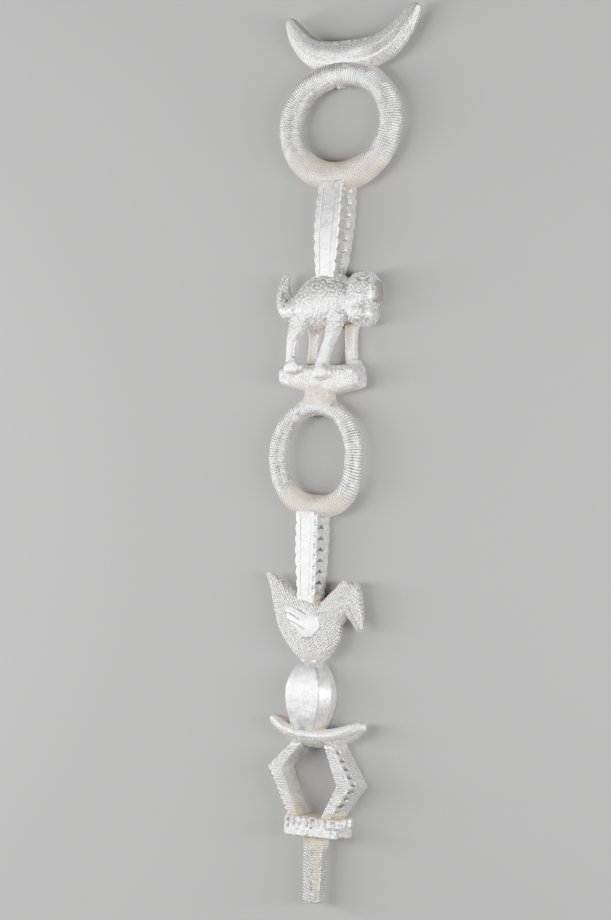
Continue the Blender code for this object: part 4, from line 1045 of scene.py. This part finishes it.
LEGS = (
    # along at the hip, the knee and the foot, thigh width, how far the paw laps down, front or back
    (-0.330, -0.460, -0.465, 2.3, 0.08, 1),
    (0.310, 0.165, 0.030, 1.8, 0.34, 1),
    (-0.220, -0.265, -0.300, 2.8, 0.15, -1),
    (0.350, 0.360, 0.390, 1.3, 0.15, -1),
)


def stacked(levels, sides, power, steps=5):
    """A form built up along Y from levels of (y, centre x, half width, centre z, half depth)."""
    rows = spline_rows(levels, steps)
    across, deep = oval(sides, power)
    x = rows[:, 1:2] + across[None, :] * np.abs(rows[:, 2:3])
    z = rows[:, 3:4] + deep[None, :] * np.abs(rows[:, 4:5])
    return Skin(together(x, rows[:, :1], z))


def sided(rows, y0, height, shift, length, depth):
    """Levels from a table of height, left side, right side and depth."""
    high, left, right, deep = np.array(rows).T
    middle = shift + (left + right) / 2 * length
    return together(y0 + high * height, middle, (right - left) / 2 * length, 0, deep * depth / 2)


def followed(path, half_across, half_deep, sides, power):
    """A form that follows a path, with half sizes across it and in depth at each of its points."""
    path = np.array(path, float)
    heading = np.gradient(path, axis=0)
    heading /= np.linalg.norm(heading, axis=1, keepdims=True)
    side = together(heading[:, 1], -heading[:, 0], 0)
    across, deep = oval(sides, power)
    points = path[:, None] + side[:, None] * (across[None, :, None] * np.array(half_across)[:, None, None])
    points[..., 2] += deep[None, :] * np.array(half_deep)[:, None]
    return Skin(points)


def fused(name, skins, voxel, smoothing):
    """One even mesh over several skins that run into each other, softened where they meet."""
    carrier = added(name, mesh_from(name, skins))
    remesh = carrier.modifiers.new("even", "REMESH")
    remesh.mode = "VOXEL"
    remesh.voxel_size = voxel
    soften = carrier.modifiers.new("soften", "SMOOTH")
    soften.factor, soften.iterations = 0.5, smoothing
    return settled(carrier)


def bird_place(along, height):
    return np.array((BIRD_SHIFT + along * BIRD_LENGTH, BIRD_Y + height * BIRD_HEIGHT))


def bird():
    rise = BIRD_TAIL_RISE - BIRD_HEIGHT
    body = sided(BIRD_BODY, BIRD_Y, BIRD_HEIGHT, BIRD_SHIFT, BIRD_LENGTH, BIRD_DEPTH)
    tail = sided(BIRD_TAIL, BIRD_Y + BIRD_HEIGHT, rise, BIRD_SHIFT, BIRD_LENGTH, BIRD_DEPTH)
    head = sided(BIRD_HEAD, BIRD_Y, BIRD_HEIGHT, BIRD_SHIFT, BIRD_LENGTH, BIRD_HEAD_DEPTH)
    low, high = (np.append(bird_place(*at), 0) for at in ((0.18, 0.62), (0.54, 1.02)))
    rows = spline_rows(((0, 0.19, 0.47), (0.45, 0.19, 0.43), (0.8, 0.185, 0.40), (1, 0.15, 0.33)), 8)
    path = low + (high - low) * rows[:, :1]
    neck = followed(path, rows[:, 1] * BIRD_LENGTH, rows[:, 2] * BIRD_DEPTH, 48, 2.2)
    skins = [stacked(np.vstack([body, tail]), 72, 2.3), neck, stacked(head, 48, 2.2)]
    mesh = fused("carved_bird", skins, BIRD_VOXEL, 6)
    points, normals = read_points(mesh)
    flat = points[:, :2]
    u = (points[:, 0] - BIRD_SHIFT) / BIRD_LENGTH
    v = (points[:, 1] - BIRD_Y) / BIRD_HEIGHT
    flank = ease(np.abs(normals[:, 2]), 0.15, 0.35)
    # A low wing that fades into the back, with a line under each feather
    within = inside(flat, [bird_place(*at) for at in WING])
    fades = ease(0.72 - v, 0.0, 0.20)
    lift = ease(within, -0.0008, 0.0016) * WING_RISE * fades
    rim = line_at(within + 0.0006, 0.0010) * fades * 0.25
    barbs = np.zeros(len(points))
    for line in FEATHERS:
        barbs = np.maximum(barbs, line_at(off_line(flat, [bird_place(*at) for at in line]), FEATHER_WIDTH))
    barbs = barbs * flank
    lift = (lift - 0.0003 * rim) * flank - FEATHER_DEPTH * barbs
    wing = ease(within, -0.0006, 0.0008) * flank * ease(0.84 - v, 0, 0.16)
    # Eye, and the groove along the beak
    away = np.linalg.norm(flat - bird_place(0.52, 1.00), axis=1)
    ring = line_at(away - 0.0036, 0.0010) * flank
    bead = line_at(away, 0.0013) * flank
    beside = off_line(flat, (bird_place(0.600, 0.835), bird_place(0.700, 0.500)))
    beak = line_at(beside, 0.0024) * flank * ease(v, 0.46, 0.50) * ease(0.86 - v, 0, 0.04)
    lift = lift - 0.0005 * ring + 0.0006 * bead - 0.0013 * beak
    # A fine net of lines over all but the wing and the beak, which runs with the neck
    neck_way = (high - low)[:2] / np.linalg.norm((high - low)[:2])
    across = flat @ neck_way
    aslant = flat @ np.array((-neck_way[1], neck_way[0]))
    net = np.maximum(lines(across / NET_PITCH, 0.3), 0.6 * lines(aslant / NET_CROSS_PITCH, 0.3))
    plain = 1 - wing
    lift = lift - NET_DEPTH * net * plain * ease(0.58 - u, 0, 0.06)
    write_points(mesh, points + normals * lift[:, None])
    on_neck = ease(u, 0.18, 0.30) * ease(0.62 - u, 0, 0.1) * ease(v, 0.50, 0.60)
    # Painted shade under the wing's rim, in the eye ring, the beak groove, the net and the feather lines
    set_marks(
        mesh,
        along=across,
        around=aslant,
        stipple=plain * 0.25,
        smooth=0.4 + 0.6 * wing,
        crevice=0.20 * rim * flank + 0.35 * ring + 0.40 * beak,
        graven=unit(np.maximum(0.85 * net * plain, 0.8 * barbs) + 0.5 * ring + 0.5 * beak),
        wear=0.14 + 0.16 * on_neck + 0.24 * ease(0.24 - v, 0, 0.2) + 0.25 * beak,
    )
    return mesh


def leopard_place(along, height, z=0.0):
    return np.array((LEOPARD_SHIFT + along * LEOPARD_LENGTH, LEOPARD_Y + height * LEOPARD_HEIGHT, z))


def leopard_head():
    """The middle of the leopard's head, and the height of its chin."""
    centre = leopard_place(0.63, 0.53)
    return centre, centre[1] - LEOPARD_HEAD_HEIGHT / 2


def leopard_skins():
    rows = spline_rows(LEOPARD_BODY, 5)
    deep, out = oval(72, 2.2)
    x = LEOPARD_SHIFT + rows[:, :1] * LEOPARD_LENGTH
    y = LEOPARD_Y + (rows[:, 1:2] + out[None, :] * rows[:, 2:3]) * LEOPARD_HEIGHT
    body = Skin(together(x, y, deep[None, :] * rows[:, 3:4] * LEOPARD_DEPTH / 2))
    centre, low = leopard_head()
    head = sided(LEOPARD_HEAD, low, LEOPARD_HEAD_HEIGHT, centre[0], LEOPARD_HEAD_WIDTH, LEOPARD_HEAD_DEPTH)
    rows = spline_rows(TAIL, 8)
    path = np.array([leopard_place(row[0], row[1]) for row in rows])
    tail = followed(path, rows[:, 2] * TAIL_WIDTH / 2, rows[:, 2] * TAIL_WIDTH / 2, 36, 2)
    made = [body, stacked(head, 72, 2.3), tail]
    for hip, knee, foot, thigh, lap, side in LEGS:
        z = side * (LEOPARD_DEPTH / 2 - LEG_WIDTH * 0.72)
        knee_hip = (knee + hip) / 2
        way = (
            (foot, -LEG_WIDTH * 0.4, 1.0),
            (knee, LEG_HEIGHT * 0.62, 1.05),
            (knee_hip, LEG_HEIGHT * 1.02, (1 + thigh) / 2),
            (hip, LEG_HEIGHT * 1.45, thigh),
        )
        rows = spline_rows(way, 8)
        path = together(LEOPARD_SHIFT + rows[:, 0] * LEOPARD_LENGTH, GROUND_Y + rows[:, 1], z)
        made.append(followed(path, rows[:, 2] * LEG_WIDTH / 2, rows[:, 2] * 0 + LEG_WIDTH / 2, 40, 3.6))
        # A paw that laps over the plate's edge and tapers into the leg
        paw_y = GROUND_Y - PLATE_THICKNESS * lap
        paw_x = LEOPARD_SHIFT + foot * LEOPARD_LENGTH + LEG_WIDTH * 0.3
        turn = np.linspace(-0.97, 0.97, 15)
        low_end = (1 - unit(-turn) ** 2.6) ** 0.5
        wide = low_end * (1 - 0.50 * ease(turn, -0.1, 0.97)) * LEG_WIDTH * 1.08
        thick = low_end * (1 - 0.12 * ease(turn, 0.1, 0.97)) * LEG_WIDTH * 0.58
        levels = together(paw_y + turn * LEG_WIDTH * 0.86, paw_x, wide, z, thick)
        made.append(stacked(levels, 40, 2.8, 2))
    return made


def leopard():
    mesh = fused("carved_leopard", leopard_skins(), LEOPARD_VOXEL, 3)
    points, normals = read_points(mesh)
    centre, low = leopard_head()
    flat, x, y = points[:, :2], points[:, 0], points[:, 1]
    high_share = (y - low) / LEOPARD_HEAD_HEIGHT
    on_head = ease(x, centre[0] - 0.46 * LEOPARD_HEAD_WIDTH, centre[0] - 0.34 * LEOPARD_HEAD_WIDTH)
    on_head = on_head * ease(high_share, 0.0, 0.02)
    flank = ease(np.abs(normals[:, 2]), 0.25, 0.5)
    # Two rings round the eye, a small one above them, the mouth, and a row of beads at the shoulder
    eye = centre[:2] + np.array((0.17 * LEOPARD_HEAD_WIDTH, 0.17 * LEOPARD_HEAD_HEIGHT))
    away = np.linalg.norm((flat - eye) * np.array((1.0, 0.88)), axis=1)
    outer, inner = line_at(away - EYE_WIDTH / 2, 0.0008), line_at(away - 0.0016, 0.0007)
    rings_cut = np.maximum(outer, 0.7 * inner) * flank * on_head
    small = line_at(np.linalg.norm(flat - eye - np.array((0.0022, 0.0098)), axis=1) - 0.0016, 0.0007) * flank
    mouth_y = low + 0.345 * LEOPARD_HEAD_HEIGHT + 0.0035 * ease(centre[0] + 0.010 - x, 0, 0.02)
    mouth = line_at(y - mouth_y, 0.0016) * on_head * ease(x, centre[0] - 0.008, centre[0] + 0.002)
    bead = lines(y / COLLAR_PITCH, 0.45) * line_at(x - leopard_place(0.325, 0)[0], 0.0013)
    bead = bead * flank * ease(y, leopard_place(0, 0.25)[1], leopard_place(0, 0.30)[1])
    # The flat front of the face, which gets painted shade
    face = on_head * ease(x, centre[0] + 0.46 * LEOPARD_HEAD_WIDTH, centre[0] + 0.51 * LEOPARD_HEAD_WIDTH)
    face = face * ease(high_share, 0.38, 0.45)
    belly_y = leopard_place(0, 0.12)[1]
    legs = ease(belly_y - y, 0, 0.006)
    lift = -0.0008 * rings_cut - 0.0006 * small - 0.0004 * mouth + COLLAR_RISE * bead
    lift -= 0.00045 * lump(points, 0.012, 51) + 0.00008 * lump(points, 0.003, 52)
    points = points + normals * lift[:, None]
    write_points(mesh, points)
    y, z = points[:, 1], points[:, 2]
    belly = ease(belly_y - y, 0, 0.010) * ease(-normals[:, 1], -0.2, 0.5)
    far_legs = 0.16 * ease(-z, 0.0, 0.008) * legs + legs * ease(0.006 - z, 0, 0.006) * 0.12
    # Painted shade in the eye rings, the small ring and the mouth, and over the face's front
    set_marks(
        mesh,
        along=y,
        around=points[:, 0],
        stipple=0.3 * legs + 0.6 * face,
        smooth=unit(0.8 - 0.8 * face - 0.8 * legs),
        crevice=0.20 * rings_cut + 0.20 * small + 0.15 * mouth + 0.25 * face,
        graven=np.maximum(0.7 * np.maximum(rings_cut, small), 0.8 * face),
        wear=0.08 + 0.25 * belly + far_legs + 0.35 * mouth + 0.4 * line_at(away, 0.0022) * on_head,
    )
    # Punch marks on the body and the thighs, clear of the face, the eye and the mouth, and fewer on the far side
    dots = ease(y - LEOPARD_Y + 0.25 * LEOPARD_HEIGHT, 0, 0.022) * (1 - face)
    dots = dots * ease(away, 0.0068, 0.0082) * (1 - mouth) * np.where(z < -0.004, 0.35, 1.0)
    set_mark(mesh, "dots", unit(dots))
    return mesh


STAMP_SIDES, RIM_SIDES = 7, 3


def punch_tree(inputs):
    """A small ring stands wherever a punch struck, square to the surface."""
    tree, given = new_tree("punch_marks", inputs)
    amount = put(tree, "GeometryNodeInputNamedAttribute", {"Name": "dots"}, data_type="FLOAT")
    spacing = {"Distance Min": given["Spacing"], "Density Max": given["Density"], "Seed": given["Seed"]}
    spacing |= {"Mesh": given["Geometry"], "Density Factor": amount.outputs["Attribute"]}
    spread = put(tree, "GeometryNodeDistributePointsOnFaces", spacing, distribute_method="POISSON")
    circle, rim = (
        put(tree, "GeometryNodeCurvePrimitiveCircle", {"Resolution": sides, "Radius": given[radius]})
        for sides, radius in ((STAMP_SIDES, "Punch radius"), (RIM_SIDES, "Rim radius"))
    )
    curves = {"Curve": circle.outputs["Curve"], "Profile Curve": rim.outputs["Curve"]}
    stamp = put(tree, "GeometryNodeCurveToMesh", curves)
    vary = put(tree, "FunctionNodeRandomValue", {2: 0.75, 3: 1.25})
    stamps = {"Instance": stamp.outputs["Mesh"], "Scale": vary.outputs[1]}
    stamps |= {label: spread.outputs[label] for label in ("Points", "Rotation")}
    placed = put(tree, "GeometryNodeInstanceOnPoints", stamps)
    return end_tree(tree, placed.outputs[0], given["Leaf"])


def punch_marks(mesh, leaf):
    inputs = {
        "Spacing": 0.0036,
        "Density": 400000.0,
        "Punch radius": 0.00110,
        "Rim radius": 0.00052,
        "Seed": 3,
        "Leaf": leaf,
    }
    made = grown("punch_marks", punch_tree(inputs), inputs, mesh.copy())
    set_marks(made, wear=0.02)
    # Painted shade darkens the hollows between the punch marks
    places = read_points(made)[0].reshape(-1, STAMP_SIDES * RIM_SIDES, 3).mean(1)
    tree = KDTree(len(places))
    for index, place in enumerate(places):
        tree.insert(place, index)
    tree.balance()
    away = np.array([tree.find(point)[2] for point in read_points(mesh)[0].tolist()])
    gaps = ease(away, 0.0012, 0.0019) * ease(0.0042 - away, 0, 0.001)
    set_mark(mesh, "graven", unit(get_mark(mesh, "graven") + 0.28 * gaps))
    return made


# Finish: rubbed places, places of painted shade, and the leaf itself


WORN_PLACES = (
    # x, y and z of the middle, how far it reaches, how bare it is
    (-0.0140, 0.3320, 0.000, 0.018, 0.4),
    (-0.0070, 0.3330, 0.008, 0.010, 0.6),
    (-0.0420, 0.3350, 0.004, 0.018, 0.3),
    (-0.0150, 0.2650, 0.006, 0.013, 0.7),
    (-0.0050, 0.1920, 0.006, 0.014, 0.9),
    (-0.0280, 0.1930, 0.006, 0.018, 0.6),
    (-0.0236, 0.4300, 0.010, 0.022, 0.5),
    (-0.0230, 0.5640, 0.006, 0.020, 0.5),
    (-0.0200, 0.7980, 0.012, 0.026, 0.55),
    (0.0100, 0.8020, 0.008, 0.026, 0.5),
    (0.0280, 0.9420, 0.008, 0.016, 0.5),
    (-0.0240, 0.0955, 0.008, 0.016, 0.8),
    (0.0260, 0.0955, 0.008, 0.016, 0.8),
    (0.0000, 0.0720, 0.006, 0.018, 0.6),
    (0.0080, 0.6330, -0.004, 0.016, 0.7),
    (-0.0200, 0.6380, 0.004, 0.018, 0.6),
)


def find_crevices(mesh, solid):
    """Paints shade by how shut in each point is by the forms around it, and marks how bare the leaf is rubbed there.
    """
    clear, reach, rays, lean, most = 0.0030, 0.022, 5, (0.55, 0.83), 2.6
    points, normals = read_points(mesh)
    helper = np.where(np.abs(normals[:, 1:2]) > 0.9, np.array((1.0, 0, 0)), np.array((0, 1.0, 0)))
    side = np.cross(normals, helper)
    side /= np.maximum(np.linalg.norm(side, axis=1, keepdims=True), 1e-9)
    other = np.cross(normals, side)
    shut = np.zeros(len(points))
    start = (points + normals * clear).tolist()
    for turn in range(rays):
        angle = 2 * math.pi * turn / rays
        way = normals * lean[0] + (side * math.cos(angle) + other * math.sin(angle)) * lean[1]
        for index, (a, b) in enumerate(zip(start, way.tolist())):
            hit = solid.ray_cast(a, b, reach)[3]
            if hit is not None:
                shut[index] += 1 - hit / reach
    shut = unit(shut / most)
    wear = get_mark(mesh, "wear")
    for x, y, z, size, bare in WORN_PLACES:
        away = np.linalg.norm(points - np.array((x, y, z)), axis=1)
        wear = np.maximum(wear, bare * ease(size - away, 0, size * 0.8))
    set_mark(mesh, "wear", np.clip(wear + 0.55 * shut, 0, 1.2))
    # Painted shade where the forms around shut a point in
    set_mark(mesh, "crevice", unit(get_mark(mesh, "crevice") + 0.62 * shut**1.6))


# Two greys of the leaf itself, and a dark painted shade for its cuts
GREY_LEAF, BRIGHT_LEAF, CUT_SHADE = (0.58, 0.58, 0.58, 1), (1.0, 0.995, 0.985, 1), (0.15, 0.125, 0.088, 1)
# Tan of bare wood, and a near-black painted shade for hollows and shut-in places
DARK_TAN, PALE_TAN, SHADE_COLOUR = (0.34, 0.215, 0.075, 1), (0.68, 0.55, 0.31, 1), (0.10, 0.075, 0.05, 1)
ENGRAVED_PITCH, PIT_SCALE = 0.0026, 430


def silver_leaf():
    """Pale silver leaf, hatched and punched, rubbed through to tan wood, with painted shade in the hollows and cuts.
    """
    made = bpy.data.materials.new("silver_leaf")
    made.use_nodes = True
    tree = made.node_tree
    shader = tree.nodes["Principled BSDF"].inputs
    spot = tree.nodes.new("ShaderNodeTexCoord").outputs["Object"]

    def mark(name):
        return Field(tree, put(tree, "ShaderNodeAttribute", attribute_name=name).outputs["Fac"])

    def grain(scale, detail=3.0, rough=0.55):
        sizes = {"Scale": scale, "Detail": detail, "Roughness": rough, "Vector": spot}
        return Field(tree, put(tree, "ShaderNodeTexNoise", sizes).outputs["Fac"])

    def between(value, low, high):
        ends = {"From Min": low, "From Max": high, "Value": value}
        return Field(tree, put(tree, "ShaderNodeMapRange", ends, interpolation_type="SMOOTHSTEP").outputs["Result"])

    def blend(share, first, second):
        return put(tree, "ShaderNodeMix", {0: share, 6: first, 7: second}, data_type="RGBA").outputs[2]

    def engraved(coordinate):
        return ((coordinate * (2 * math.pi / ENGRAVED_PITCH)).cos() * 0.5 + 0.5).power(2.5)

    # Everything that is cut into the leaf: engraved lines both ways, fine pits, and the marks cut in the shape, all
    # coloured with painted shade
    stipple, smooth, wear, crevice = mark("stipple"), mark("smooth"), mark("wear"), mark("crevice")
    shift = grain(260.0) * 0.0009
    across = engraved(mark("along") + shift) * mark("hatch")
    down = engraved(mark("around") + shift) * mark("cross")
    cell = put(tree, "ShaderNodeTexVoronoi", {"Scale": PIT_SCALE, "Vector": spot})
    pits = between(Field(tree, cell.outputs["Distance"]), 0.42, 0.12) * stipple
    cut = across.at_least(down).at_least(pits).at_least(mark("graven"))

    # How bare the wood is rubbed, and how much painted shade darkens the hollows, each with a ragged edge
    fine, coarse, patch, speckle = grain(900.0, 4.0, 0.7), grain(150.0), grain(38.0, 4.0, 0.6), grain(430.0, 2.0, 0.6)
    ragged = wear * (patch + 0.55) + (coarse - 0.5) * 0.55 + (fine - 0.5) * 0.75
    bare = between(ragged + cut * wear * 0.3, 0.24, 0.80)
    shade_mix = between(crevice * (coarse + 0.6) + (fine - 0.5) * 0.3 + cut * 0.10, 0.28, 0.85)

    glint = coarse * 0.25 + speckle * 0.75 + smooth * 0.02 + (coarse - 0.5) * smooth * 0.35
    leaf = blend(between(glint, 0.40, 0.60), GREY_LEAF, BRIGHT_LEAF)
    # Painted shade darkens the leaf in the cuts, the pits and the shaded marks
    leaf = blend(cut * 0.92, leaf, CUT_SHADE)
    tan = blend(between(patch * 0.5 + fine * 0.5, 0.42, 0.58), DARK_TAN, PALE_TAN)
    colour = blend(shade_mix * 0.8, blend(bare * 0.80, leaf, tan), SHADE_COLOUR)
    shine = (bare * -0.60 + 0.82) * (shade_mix * -0.7 + 1.0)
    rough = (fine - 0.5) * 0.18 + 0.33 + bare * 0.28 + shade_mix * 0.2 - smooth * 0.02
    grit = (speckle * 0.5 + fine * 0.5 - 0.5) * 0.6 * (smooth * -0.75 + 1.0)
    relief = cut * -0.9 + grit + (coarse - 0.5) * 0.35 - bare * 0.15
    bump = put(tree, "ShaderNodeBump", {"Strength": 1.0, "Distance": 0.0008, "Height": relief})
    for label, link in (
        ("Base Color", colour),
        ("Metallic", shine.socket),
        ("Roughness", rough.socket),
        ("Normal", bump.outputs["Normal"]),
    ):
        tree.links.new(link, shader[label])
    made.diffuse_color = (0.80, 0.79, 0.77, 1)
    return made


def set_down(mesh, name, leaf, sharp):
    """Puts a finished mesh in the shared frame, held inside the solid's box, as a piece of its own."""
    write_points(mesh, np.clip(read_points(mesh)[0] + PLACE, *cad_box))
    mesh.materials.clear()
    mesh.materials.append(leaf)
    mesh.shade_smooth()
    if sharp:
        mesh.set_sharp_from_angle(angle=math.radians(sharp))
    mesh.name = name
    piece = added(name, mesh)
    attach(piece, "root")
    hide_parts("staff")


def joined(name, meshes):
    """One mesh of several, with their marks."""
    shape = bmesh.new()
    for mesh in meshes:
        shape.from_mesh(mesh)
    result = bpy.data.meshes.new(name)
    shape.to_mesh(result)
    shape.free()
    return result


def main():
    camera_and_lights()
    leaf = silver_leaf()

    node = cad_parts["staff"].data
    solid_points, _ = read_points(node)
    solid = BVHTree.FromPolygons(
        (solid_points - PLACE).tolist(), [tuple(face.vertices) for face in node.polygons], epsilon=0.0
    )

    foot = [grip(), foot_plate(), arm(-1, ELBOW_RISE_LEFT), arm(1, ELBOW_RISE_RIGHT), small_crescent()]
    middle = [disc(), *shafts(), *leopard_plate(), nub(), top_crescent()]
    cat = leopard()
    punched = punch_marks(cat, leaf)
    # Name, mesh, and the angle in degrees above which an edge stays sharp, or nothing
    for name, mesh, sharp in (
        ("carved_foot", mesh_from("carved_foot", foot), 40),
        ("carved_middle", mesh_from("carved_middle", middle), 40),
        ("carved_rings", joined("carved_rings", rings(leaf)), 0),
        ("carved_bird", bird(), 0),
        ("carved_leopard", cat, 0),
        ("punch_marks", punched, 0),
    ):
        if name != "punch_marks":
            find_crevices(mesh, solid)
        set_down(mesh, name, leaf, sharp)


main()
